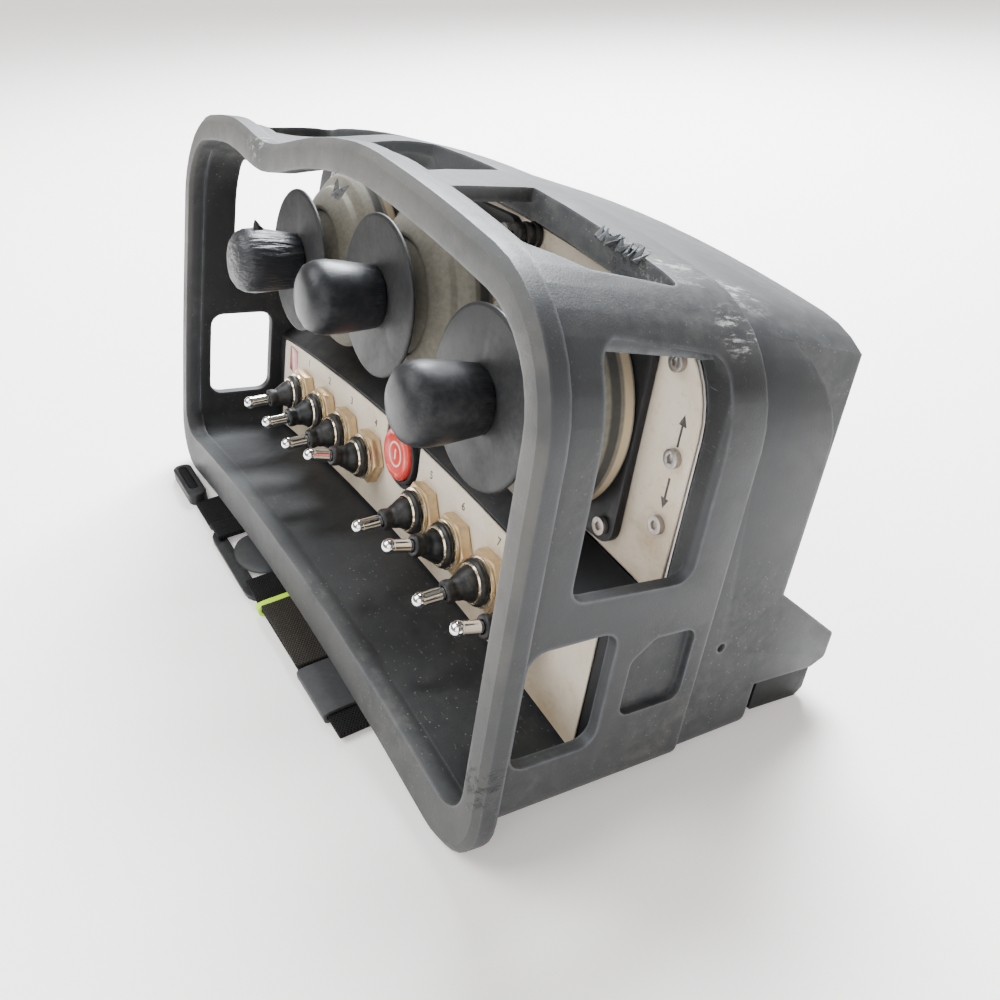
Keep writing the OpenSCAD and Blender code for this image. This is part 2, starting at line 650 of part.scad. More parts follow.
// Toggles
pivot_up = 6.5;
toggle_pivot = deck_y - pivot_up;
box_w = 16;
box_d = 24;
box_h = 22;
toggle_box = [box_w, box_d, box_h];
box_y = deck_back + seat;
nut_y = deck_y - seat;
dress_y = nut_y - nut_t - seat;
seal_y = dress_y - dress_t - seat;
bushing_end = seal_y - seal_t + panel_gap;
socket_r = bushing_r - 1;
socket_l = 8;
pivot_ball = 4.4;
pivot_pin = 1;
boot_r = 6.2;
boot_base = 4.2;
boot_l = 13;
boot_neck = 3.75;
boot_band = 2;
boot_step = 0.8;
boot_waist = 4;
module toggle_bodies() color("dimgray") on_stand() for (k = toggle_ks) at(toggle_at(k)) difference() {
    union() {
        translate([-toggle_box[0] / 2, box_y, -toggle_box[2] / 2]) cube(toggle_box);
        peg(box_y + over, box_y + over - bushing_end, bushing_r);
    }
    peg(bushing_end + socket_l, socket_l + over, socket_r);
    translate([-bushing_r - over, toggle_pivot, 0]) rotate([0, 90, 0])
        cylinder(2 * (bushing_r + over), pivot_pin + run_gap, pivot_pin + run_gap);
}
module toggle_nuts() color("tan") on_stand() for (k = toggle_ks) at(toggle_at(k)) difference() {
    translate([0, nut_y, 0]) rotate([90, 0, 0])
        cylinder(nut_t, nut_af / 2 / cos(30), nut_af / 2 / cos(30), $fn = 6);
    peg(nut_y + over, nut_t + 2 * over, bush_hole);
}
module toggle_dress_rings() color("gold") on_stand() for (k = toggle_ks) at(toggle_at(k)) difference() {
    peg(dress_y, dress_t, dress_r);
    peg(dress_y + over, dress_t + 2 * over, bush_hole);
}
module toggle_seals() color("black") on_stand() for (k = toggle_ks) at(toggle_at(k)) turned(seal_y, [
    [bush_hole, 0], [seal_r - over / 2, 0], [seal_r, over / 2], [seal_r, seal_t - over],
    [seal_r - over, seal_t], [bush_hole + over / 2, seal_t], [bush_hole, seal_t - over / 2]]);
// Which way each toggle leans at rest: 1 down, -1 up
lean = [1, 1, 1, -1, 1, -1, 1, -1];
module leaning(n) on_stand() translate([0, toggle_pivot, 0]) at(toggle_at(toggle_ks[n]))
    rotate([lean[n] * lever_tilt, 0, 0]) translate([0, -toggle_pivot, 0]) children();
module toggle_lever(n) color("silver") leaning(n) {
    translate([0, toggle_pivot, 0]) sphere(pivot_ball);
    translate([-bushing_r + pivot_pin / 4, toggle_pivot, 0]) rotate([0, 90, 0])
        cylinder(2 * bushing_r - pivot_pin / 2, pivot_pin, pivot_pin);
    turned(toggle_pivot, [[0, 0], [lever_r, 0], [lever_r, boot_l + over], [lever_r + seat, boot_l + 2 * over],
        [lever_r + seat, lever_l - ball_r], [0, lever_l - ball_r]]);
    translate([0, toggle_pivot - lever_l + ball_r, 0]) sphere(ball_r);
}
module toggle_boot(n) color("black") leaning(n) turned(toggle_pivot, [
    [boot_r - over, boot_base], [boot_r, boot_base], [boot_r, boot_base + boot_band],
    [boot_r - boot_step, boot_base + boot_band + boot_step], [boot_neck + boot_step, boot_l - boot_waist],
    [boot_neck, boot_l - over], [boot_neck - seat, boot_l], [lever_r + run_gap, boot_l],
    [lever_r + run_gap, boot_base + boot_waist]]);

// Stop button
bezel_up = 1.5;
bezel_y = deck_y - bezel_up;
bezel_t = 2;
bezel_in = 12.5;
bezel_back = deck_y + bezel_in;
stem_r = 3;
switch_r = 9;
switch_l = 14;
module stop_bezel() color("dimgray") on_stand() at([0, stop_z]) difference() {
    union() {
        peg(bezel_back, bezel_back - bezel_y, stop_hole - seat);
        peg(bezel_back + switch_l, switch_l + over, switch_r);
    }
    peg(bezel_back - bezel_t, bezel_back, stop_r + seat);
    peg(bezel_back + switch_l - bezel_t, switch_l + 2 * bezel_t, stem_r + run_gap);
}
stop_cap = 11;
module stop_button() color("red") on_stand() at([0, stop_z]) {
    turned(deck_y - stop_up + stop_cap, [[0, 0], [stop_r, 0], [stop_r, stop_cap - over],
        [stop_r - over, stop_cap], [stop_r - 3 * over, stop_cap], [stop_r - 4 * over, stop_cap - over / 2],
        [0, stop_cap - over / 2]]);
    peg(bezel_back + over, bezel_back + over - (deck_y - stop_up + stop_cap) + over, stem_r);
}

// Grommet, with the profile of its ribs as shares of its radius and of its length
grommet_l = 13;
grommet_shares = [[1, 0.385], [0.826, 0.415], [0.826, 0.492], [0.978, 0.523], [0.978, 0.646], [0.804, 0.677],
    [0.804, 0.754], [0.935, 0.785], [0.935, 0.923], [0.739, 1]];
module cable_grommet() color("black") on_stand() at(grommet_at) turned(plate_y + plate_t, concat(
    [[grommet_r / 2 - over, 0], [grommet_r / 2, 0], [grommet_r / 2, plate_t + film],
        [grommet_r, plate_t + seat]],
    [for (p = grommet_shares) [p[0] * grommet_r, p[1] * grommet_l]], [[grommet_r / 2 - over, grommet_l]]));

// Electronics
board_y = base_y + base_d + seat;
board_t = 1.6;
board_half = 104;
board_drop = 31;
board_h = 48;
board_z = [case_h - board_drop - board_h, case_h - board_drop];
radio_w = 52;
radio_d = 10;
radio_h = 34;
radio_size = [radio_w, radio_d, radio_h];
radio_x = 30;
module control_board() color("green") on_stand() translate([-board_half, board_y, board_z[0]])
    cube([2 * board_half, board_t, board_z[1] - board_z[0]]);
module radio_module() color("silver") on_stand()
    translate([radio_x, board_y + board_t + seat, board_z[0] + 2 * over]) cube(radio_size);

// Battery
battery_r = 3;
grip_n = 9;
grip_w = 3;
grip_t = 1.2;
module battery_pack() color("black") on_stand() {
    difference() {
        across(-battery_w / 2, battery_w) polygon(rounded([[battery_y, battery_z],
            [battery_y + battery_d - battery_r, battery_z], [battery_y + battery_d, battery_z + battery_r],
            [battery_y + battery_d, battery_z + battery_t], [battery_y, battery_z + battery_t]], over));
        for (i = [0 : grip_n - 1]) translate([(i - (grip_n - 1) / 2) * 2 * grip_w - grip_w / 2,
            battery_y + battery_d - grip_t, battery_z + battery_r])
                cube([grip_w, 2 * grip_t, battery_t - battery_r - over]);
    }
    rail(0, battery_y + over, block_y - over);
}

// Belt and its fittings, lying on the floor that the case leans back on
web_up = 1.5;
web_low = 0.3;
web_in = 2;
web_y = web_in - belt_peek;
web_end = 81;
buckle_end = 9;
buckle_l = 63;
buckle_w = 33;
buckle_x = [-buckle_end - buckle_l, -buckle_end];
buckle_y = [-belt_peek, buckle_w - belt_peek];
buckle_t = 2.4;
buckle_bar = 6;
buckle_r = 9;
keeper_from = 43;
keeper_w = 27;
keeper_x = [keeper_from, keeper_from + keeper_w];
keeper_wall = 1.6;
loop_x = -4;
loop_w = 3.4;
hook_far = 133;
hook_l = 33.5;
hook_x = [-hook_far, hook_l - hook_far];
hook_r = 4;
hook_eye_r = 1.6;
hook_t = 6;
hook_w = 9;
hook_bar = 2.4;
stub_far = 99;
stub_l = 39;
stub_x = [-stub_far, stub_l - stub_far];
fold = 3;
tail = 13;
over_bar = buckle_t + seat;
module on_slope() on_stand() translate([0, 0, floor_z]) rotate([floor_tilt, 0, 0]) children();
// A strip of webbing from its run in X and Z, and a loop round the webbing
module strip(run) translate([0, web_y, 0]) rotate([90, 0, 0]) mirror([0, 0, 1]) linear_extrude(web_w)
    polygon(concat(run, [for (i = [len(run) - 1 : -1 : 0]) run[i] + [0, web_t]]));
module web_loop(x, w, wall, r) across(x, w) difference() {
    translate([web_y - wall - seat, 0]) polygon(rounded([[0, 0], [web_w + 2 * (wall + seat), 0],
        [web_w + 2 * (wall + seat), web_up + web_t + seat + wall], [0, web_up + web_t + seat + wall]], r));
    translate([web_y - seat, web_up - seat]) square([web_w + 2 * seat, web_t + 2 * seat]);
}
module belt_webbing() color("black") on_slope() {
    strip([[buckle_x[1] - tail, over_bar], [buckle_x[1] + seat, over_bar],
        [buckle_x[1] + fold, web_up], [web_end, web_up]]);
    strip([[stub_x[0], web_low], [buckle_x[0] - fold, web_low], [buckle_x[0] - seat, over_bar],
        [stub_x[1], over_bar]]);
}
module belt_buckle() color("black") on_slope() linear_extrude(buckle_t) difference() {
    polygon(rounded([[buckle_x[0], buckle_y[0]], [buckle_x[1], buckle_y[0]],
        [buckle_x[1], buckle_y[1]], [buckle_x[0], buckle_y[1]]], buckle_r));
    for (s = [0, 1]) translate([buckle_x[0] + buckle_bar + s * (buckle_x[1] - buckle_x[0] - buckle_bar) / 2,
        buckle_y[0] + buckle_bar])
        square([(buckle_x[1] - buckle_x[0] - 3 * buckle_bar) / 2, buckle_y[1] - buckle_y[0] - 2 * buckle_bar]);
}
module belt_keeper() color("gray") on_slope()
    web_loop(keeper_x[0], keeper_x[1] - keeper_x[0], web_up - seat, over);
module belt_ring() color("greenyellow") on_slope() web_loop(loop_x, loop_w, web_up - seat, over / 2);
module belt_hook() color("dimgray") on_slope() linear_extrude(hook_t) difference() {
    polygon(rounded([[hook_x[0], -belt_peek], [hook_x[1], -belt_peek], [hook_x[1], hook_w - belt_peek],
        [hook_x[0], hook_w - belt_peek]], hook_r));
    translate([hook_x[0] + hook_bar, hook_bar - belt_peek])
        polygon(rounded([[0, 0], [hook_x[1] - hook_x[0] - 4 * hook_bar, 0],
            [hook_x[1] - hook_x[0] - 4 * hook_bar, hook_w - 2 * hook_bar], [0, hook_w - 2 * hook_bar]], hook_eye_r));
}

guard_frame();
rear_case();
joystick_plate();
toggle_deck();
joystick_face();
toggle_face();
panel_seal();
panel_screws();
joystick_flanges();
flange_screws();
boot_bells();
gimbal_bases();
gimbal_ring(-1);  // gimbal_ring_left
gimbal_ring(0);  // gimbal_ring_middle
gimbal_ring(1);  // gimbal_ring_right
stick_shaft(-1);  // stick_shaft_left
stick_shaft(0);  // stick_shaft_middle
stick_shaft(1);  // stick_shaft_right
stick_gaiter(-1);  // stick_gaiter_left
stick_gaiter(0);  // stick_gaiter_middle
stick_gaiter(1);  // stick_gaiter_right
stick_disc(-1);  // stick_disc_left
stick_disc(0);  // stick_disc_middle
stick_disc(1);  // stick_disc_right
stick_knob(-1);  // stick_knob_left
stick_knob(0);  // stick_knob_middle
stick_knob(1);  // stick_knob_right
toggle_bodies();
toggle_nuts();
toggle_dress_rings();
toggle_seals();
toggle_lever(0);  // toggle_lever_1
toggle_lever(1);  // toggle_lever_2
toggle_lever(2);  // toggle_lever_3
toggle_lever(3);  // toggle_lever_4
toggle_lever(4);  // toggle_lever_5
toggle_lever(5);  // toggle_lever_6
toggle_lever(6);  // toggle_lever_7
toggle_lever(7);  // toggle_lever_8
toggle_boot(0);  // toggle_boot_1
toggle_boot(1);  // toggle_boot_2
toggle_boot(2);  // toggle_boot_3
toggle_boot(3);  // toggle_boot_4
toggle_boot(4);  // toggle_boot_5
toggle_boot(5);  // toggle_boot_6
toggle_boot(6);  // toggle_boot_7
toggle_boot(7);  // toggle_boot_8
stop_bezel();
stop_button();
status_window();
cable_grommet();
control_board();
radio_module();
battery_pack();
belt_webbing();
belt_buckle();
belt_keeper();
belt_ring();
belt_hook();
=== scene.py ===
import json
import math

import bmesh
import bpy
from mathutils import Matrix, Vector, noise

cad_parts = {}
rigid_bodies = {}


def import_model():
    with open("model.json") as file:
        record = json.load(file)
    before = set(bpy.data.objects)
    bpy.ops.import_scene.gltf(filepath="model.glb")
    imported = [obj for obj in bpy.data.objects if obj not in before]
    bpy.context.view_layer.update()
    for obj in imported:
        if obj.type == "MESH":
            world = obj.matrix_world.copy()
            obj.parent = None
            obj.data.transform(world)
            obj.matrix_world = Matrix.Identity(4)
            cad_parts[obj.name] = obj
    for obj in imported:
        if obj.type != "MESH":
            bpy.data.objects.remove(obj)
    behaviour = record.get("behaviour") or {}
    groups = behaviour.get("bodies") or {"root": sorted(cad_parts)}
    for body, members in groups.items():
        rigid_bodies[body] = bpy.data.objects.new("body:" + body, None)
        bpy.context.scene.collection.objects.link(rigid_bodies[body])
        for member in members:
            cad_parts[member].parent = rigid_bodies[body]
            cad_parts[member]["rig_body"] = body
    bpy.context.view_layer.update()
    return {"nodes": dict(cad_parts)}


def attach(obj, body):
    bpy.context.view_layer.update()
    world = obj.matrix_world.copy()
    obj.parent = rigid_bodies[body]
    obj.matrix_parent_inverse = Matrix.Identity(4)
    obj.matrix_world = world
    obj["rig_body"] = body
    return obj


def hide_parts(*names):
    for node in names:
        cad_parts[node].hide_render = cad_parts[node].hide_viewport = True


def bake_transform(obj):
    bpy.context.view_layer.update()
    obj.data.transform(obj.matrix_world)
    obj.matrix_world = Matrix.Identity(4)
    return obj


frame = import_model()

bl_info = {
    "name": "Belly box transmitter",
    "version": (1, 0, 0),
    "blender": (4, 5, 0),
    "location": "View3D > Sidebar > Transmitter",
    "description": "Dresses the packed model of a belly-box radio remote control transmitter",
    "category": "Object",
}

# Places that the pieces share, in metres, in the model's own frame
SHIFT_Y = -0.067604
SHIFT_Z = 0.020188
TILT = math.radians(11.7031)
RIM_Y = SHIFT_Y
STICKS = {"left": (-0.0794, 0.1056), "middle": (0.0, 0.114), "right": (0.0794, 0.1056)}
STICK_PIVOT = 0.068
TOGGLES = [-4, -3, -2, -1, 1, 2, 3, 4]
LEAN = [1, 1, 1, -1, 1, -1, 1, -1]
TOGGLE_PIVOT = 0.041
TOGGLE_TILT = math.radians(8.0)


def at(x, y, z):
    """A point given from the rim's front plane and the belly edge, in the model's frame."""
    return Vector((x, y + SHIFT_Y, z + SHIFT_Z))


def toggle_at(k, y=TOGGLE_PIVOT):
    return at(k * 0.0258, y, 0.0359 - 0.0019 * (k / 4) ** 2)


def ease(value, low, high):
    """0 below low, 1 above high, smooth between."""
    share = min(1.0, max(0.0, (value - low) / (high - low)))
    return share * share * (3 - 2 * share)


# The floor that the box leans back on, for the belt that lies there
SLOPE = Matrix.Translation((0, SHIFT_Y, SHIFT_Z - 0.018159)) @ Matrix.Rotation(TILT, 4, "X")


# Materials


class Wire:
    """An output socket that takes part in sums, so that shader maths reads as maths."""

    def __init__(self, finish, socket):
        self.finish = finish
        self.socket = socket

    def math(self, operation, *values, clamp=False):
        return self.finish.node("ShaderNodeMath", {"operation": operation, "use_clamp": clamp}, self, *values)

    def __add__(self, other):
        return self.math("ADD", other)

    __radd__ = __add__

    def __sub__(self, other):
        return self.math("SUBTRACT", other)

    def __rsub__(self, other):
        return self.finish.node("ShaderNodeMath", {"operation": "SUBTRACT"}, other, self)

    def __mul__(self, other):
        return self.math("MULTIPLY", other)

    __rmul__ = __mul__

    def __truediv__(self, other):
        return self.math("DIVIDE", other)

    def __pow__(self, other):
        return self.math("POWER", other)

    def band(self, low, high):
        """0 below low, 1 above high, smooth between."""
        return self.finish.node("ShaderNodeMapRange", {"interpolation_type": "SMOOTHSTEP"}, self, low, high, 0.0, 1.0)


class Finish:
    """A procedural material that is built up node by node."""

    def __init__(self, name):
        self.material = bpy.data.materials.new(name)
        self.material.use_nodes = True
        self.tree = self.material.node_tree
        self.tree.nodes.clear()
        self.output = self.tree.nodes.new("ShaderNodeOutputMaterial")
        self.shader = self.tree.nodes.new("ShaderNodeBsdfPrincipled")
        self.tree.links.new(self.shader.outputs[0], self.output.inputs[0])
        self.place = self.node("ShaderNodeTexCoord", {}, out="Object")
        parts = self.tree.nodes.new("ShaderNodeSeparateXYZ")
        self.tree.links.new(self.place.socket, parts.inputs[0])
        self.x, self.y, self.z = (Wire(self, parts.outputs[i]) for i in range(3))

    def node(self, kind, settings, *values, out=0, **named):
        made = self.tree.nodes.new(kind)
        for key, value in settings.items():
            setattr(made, key, value)
        for socket, value in list(zip(made.inputs, values)) + [(made.inputs[k], v) for k, v in named.items()]:
            self.put(socket, value)
        return Wire(self, made.outputs[out])

    def put(self, socket, value):
        if isinstance(value, Wire):
            self.tree.links.new(value.socket, socket)
        elif value is not None:
            socket.default_value = value

    def moved(self, scale=(1, 1, 1), turn=(0, 0, 0), shift=(0, 0, 0)):
        return self.node("ShaderNodeMapping", {}, self.place, shift, turn, scale)

    def noise(self, scale, detail=4.0, rough=0.55, where=None, warp=0.0):
        made = self.tree.nodes.new("ShaderNodeTexNoise")
        self.put(made.inputs["Vector"], where or self.place)
        for key, value in (("Scale", scale), ("Detail", detail), ("Roughness", rough), ("Distortion", warp)):
            made.inputs[key].default_value = value
        return Wire(self, made.outputs["Fac"])

    def cells(self, scale, feature="F1", where=None):
        made = self.tree.nodes.new("ShaderNodeTexVoronoi")
        made.feature = feature
        self.put(made.inputs["Vector"], where or self.place)
        made.inputs["Scale"].default_value = scale
        return Wire(self, made.outputs["Distance"])

    def mix(self, share, first, second):
        made = self.tree.nodes.new("ShaderNodeMix")
        made.data_type = "RGBA"
        for index, value in ((0, share), (6, first), (7, second)):
            if isinstance(value, tuple) and len(value) == 3:
                value = value + (1.0,)
            self.put(made.inputs[index], value)
        return Wire(self, made.outputs[2])

    def near(self, point, inner, outer):
        """1 within inner of a point, 0 beyond outer."""
        made = self.tree.nodes.new("ShaderNodeVectorMath")
        made.operation = "DISTANCE"
        self.put(made.inputs[0], self.place)
        made.inputs[1].default_value = tuple(point)
        return 1.0 - Wire(self, made.outputs["Value"]).band(inner, outer)

    def edges(self, radius, low=0.02, high=0.25):
        """1 on edges sharper than the given radius, 0 on flats."""
        soft = self.tree.nodes.new("ShaderNodeBevel")
        soft.samples = 4
        soft.inputs["Radius"].default_value = radius
        flat = self.tree.nodes.new("ShaderNodeNewGeometry")
        dot = self.tree.nodes.new("ShaderNodeVectorMath")
        dot.operation = "DOT_PRODUCT"
        self.tree.links.new(soft.outputs[0], dot.inputs[0])
        self.tree.links.new(flat.outputs["Normal"], dot.inputs[1])
        return (1.0 - Wire(self, dot.outputs["Value"])).band(low, high)

    def bump(self, height, depth, strength=1.0, under=None):
        made = self.tree.nodes.new("ShaderNodeBump")
        made.inputs["Strength"].default_value = strength
        made.inputs["Distance"].default_value = depth
        self.put(made.inputs["Height"], height)
        if under is not None:
            self.put(made.inputs["Normal"], under)
        return Wire(self, made.outputs[0])

    def close(self, color, rough, metal=0.0, normal=None, **constants):
        if isinstance(color, tuple) and len(color) == 3:
            color = color + (1.0,)
        self.put(self.shader.inputs["Base Color"], color)
        self.put(self.shader.inputs["Roughness"], rough)
        self.put(self.shader.inputs["Metallic"], metal)
        if normal is not None:
            self.put(self.shader.inputs["Normal"], normal)
        for key, value in constants.items():
            self.shader.inputs[key.replace("_", " ")].default_value = value
        return self.material


def moulded(name, base, dust, dust_share, grain, rim=None, scars=()):
    """Textured moulded plastic: fine grain, dust in patches, long scratches, pale worn edges and scars; given a rim
    tint, a painted highlight on the rim's front face and painted shade inside the guard.
    """
    f = Finish(name)
    patches = f.noise(14.0, 5.0, 0.6).band(0.4, 0.72)
    fine = f.noise(160.0, 6.0, 0.7).band(0.35, 0.75)
    specks = 1.0 - f.cells(420.0).band(0.05, 0.16)
    long_ways = f.moved((12.0, 130.0, 210.0), (0.3, 0.5, 0.2))
    streaks = f.noise(9.0, 3.0, 0.6, long_ways).band(0.66, 0.72) * f.noise(20.0, 2.0).band(0.5, 0.62)
    worn = f.edges(0.0022) * f.noise(45.0, 4.0, 0.65).band(0.25, 0.6)
    color = f.mix(patches * fine * dust_share, base, dust)
    if rim:
        # Painted highlight, partly rubbed wear: the rim's front face is mixed towards the rim tint in rubbed patches,
        # more strongly higher up where the light falls.
        front = 1.0 - f.y.band(RIM_Y + 0.0012, RIM_Y + 0.0032)
        rubbed = 0.35 + 0.65 * f.noise(38.0, 5.0, 0.6).band(0.3, 0.6)
        high = 0.35 + 0.65 * f.z.band(SHIFT_Z - 0.012, SHIFT_Z + 0.1)
        color = f.mix(front * rubbed * high, color, rim)
        # Painted shade: the guard's insides, within the side walls, behind the rim and below the top wall, are mixed
        # down towards 0.22 of the base colour.
        low = 1.0 - f.z.band(SHIFT_Z + 0.132, SHIFT_Z + 0.142)
        inner = (1.0 - f.x.math("ABSOLUTE").band(0.1455, 0.1475)) * f.y.band(RIM_Y + 0.003, RIM_Y + 0.007) * low
        color = f.mix(inner * 0.72, color, tuple(0.22 * c for c in base))
    color = f.mix(specks * patches * 0.4, color, tuple(min(1.0, 2.2 * c) for c in dust))
    color = f.mix(streaks * 0.55, color, tuple(min(1.0, 4.0 * c) for c in base))
    color = f.mix(worn * 0.6, color, tuple(min(1.0, 5.0 * c) for c in base))
    height = f.noise(1500.0, 3.0, 0.6) + 0.5 * f.noise(520.0, 3.0, 0.5)
    for point, reach, tint, cut in scars:
        frayed = f.noise(330.0, 7.0, 0.75, f.moved((1.0, 0.35, 1.0), (0.4, 0.2, 0.9))).band(0.5, 0.62)
        mark = f.near(point, reach * 0.25, reach) * frayed
        color = f.mix(mark * 0.7, color, tint)
        height = height - cut * mark
    rough = 0.46 + 0.2 * patches + 0.1 * fine
    return f.close(color, rough, normal=f.bump(height, grain, 0.55), Specular_IOR_Level=0.3)


def rubber(name, base, dust, dust_share, grain=0.00008, rough=0.55, ring=None):
    """Rubber with dust that clings to it."""
    f = Finish(name)
    patches = f.noise(40.0, 5.0, 0.65).band(0.35, 0.7)
    fine = f.noise(420.0, 5.0, 0.7).band(0.3, 0.8)
    color = f.mix((0.25 + 0.75 * patches) * fine * dust_share, base, dust)
    normal = f.bump(f.noise(1300.0, 3.0, 0.6) + f.noise(300.0, 3.0, 0.6), grain, 0.5)
    return f.close(color, rough + 0.2 * patches, normal=normal, Specular_IOR_Level=0.32)


def bell_rubber(name):
    """The joystick bell: dusty grey brown, with a pale ring near the flange and a dark band over it."""
    f = Finish(name)
    base, dust = (0.055, 0.053, 0.045), (0.24, 0.22, 0.172)
    patches = f.noise(22.0, 5.0, 0.6).band(0.25, 0.7)
    fine = f.noise(520.0, 5.0, 0.7).band(0.15, 0.8)
    low = SHIFT_Y + STICK_PIVOT - 0.0066
    ring = f.y.band(low - 0.0045, low - 0.0035) - f.y.band(low - 0.0012, low - 0.0006)
    waist = f.y.band(low - 0.0098, low - 0.0085) - f.y.band(low - 0.006, low - 0.005)
    color = f.mix((0.35 + 0.65 * patches) * (0.5 + 0.5 * fine) * 0.8, base, dust)
    color = f.mix(ring * (0.55 + 0.35 * patches), color, (0.5, 0.39, 0.25))
    color = f.mix(waist * 0.8, color, (0.02, 0.021, 0.023))
    normal = f.bump(f.noise(900.0, 4.0, 0.6), 0.00012, 0.5)
    return f.close(color, 0.62 + 0.2 * patches, normal=normal, Specular_IOR_Level=0.35)


def worn_knob(name, base):
    """The outermost knob's rubber has shrunk into wrinkles that run along it."""
    f = Finish(name)
    folds = f.moved((260.0, 46.0, 420.0), (0.0, 0.25, 0.1))
    wrinkle = f.noise(1.0, 3.0, 0.55, folds, 0.6)
    dusty = wrinkle.band(0.55, 0.75)
    color = f.mix(dusty * 0.35, base, (0.13, 0.12, 0.11))
    normal = f.bump(wrinkle + 0.12 * f.noise(1200.0, 3.0), 0.0016, 0.8)
    return f.close(color, 0.42 + 0.25 * dusty, normal=normal)


def printed_face(name):
    """Printed film on the panels: warm beige, darker and browner towards its lower edges."""
    f = Finish(name)
    stain = f.noise(26.0, 6.0, 0.65, warp=0.4).band(0.4, 0.75)
    grit = f.noise(520.0, 4.0, 0.7).band(0.52, 0.75)
    # Darker and browner near the bottom of the toggle face and across the lower part of the joystick face, up to 0.75
    # of the way to dark brown.
    low = 1.0 - (f.z - SHIFT_Z).band(0.008, 0.034)
    plate_low = (1.0 - (f.z - SHIFT_Z).band(0.07, 0.1)) * (f.z - SHIFT_Z).band(0.058, 0.06)
    color = f.mix(stain * 0.55, (0.62, 0.545, 0.44), (0.46, 0.36, 0.24))
    color = f.mix((low + plate_low) * (0.35 + 0.4 * stain), color, (0.27, 0.185, 0.1))
    color = f.mix(grit * (0.18 + 0.3 * stain), color, (0.2, 0.15, 0.1))
    return f.close(color, 0.5 + 0.25 * stain, normal=f.bump(f.noise(700.0, 3.0), 0.00005, 0.4), Specular_IOR_Level=0.4)


def plated(name, base, stain, rough, stain_share):
    """Plated metal with dull stains."""
    f = Finish(name)
    spots = f.noise(230.0, 5.0, 0.65).band(0.35, 0.7)
    color = f.mix(spots * stain_share, base, stain)
    return f.close(color, rough + 0.35 * spots * stain_share, 1.0 - 0.6 * spots * stain_share,
                   f.bump(f.noise(800.0, 3.0), 0.00003, 0.3))


def webbing_cloth(name, deep, raised):
    """Woven belt webbing: ribs across the strap and a fine twill between them."""
    f = Finish(name)
    rib = (f.x * 3600.0).math("SINE")
    cross = (f.y * 5200.0).math("SINE")
    weave = rib * cross
    lint = f.noise(300.0, 5.0, 0.7).band(0.55, 0.8)
    color = f.mix(weave.band(-0.2, 0.9) * 0.6 + lint * 0.25, deep, raised)
    return f.close(color, 0.85, normal=f.bump(weave + 0.4 * rib, 0.00025, 0.7), Specular_IOR_Level=0.2)


def clear_red(name, base, milky):
    f = Finish(name)
    grime = f.noise(120.0, 5.0, 0.7).band(0.5, 0.8)
    return f.close(f.mix(grime * 0.3, base, milky), 0.16 + 0.3 * grime, Transmission_Weight=0.25, IOR=1.49,
                   Coat_Roughness=0.1)


def flat_print(name, base):
    f = Finish(name)
    gone = f.noise(600.0, 4.0, 0.7).band(0.5, 0.8)
    return f.close(f.mix(gone * 0.6, base, (0.35, 0.29, 0.22)), 0.6)


FINISHES = {}


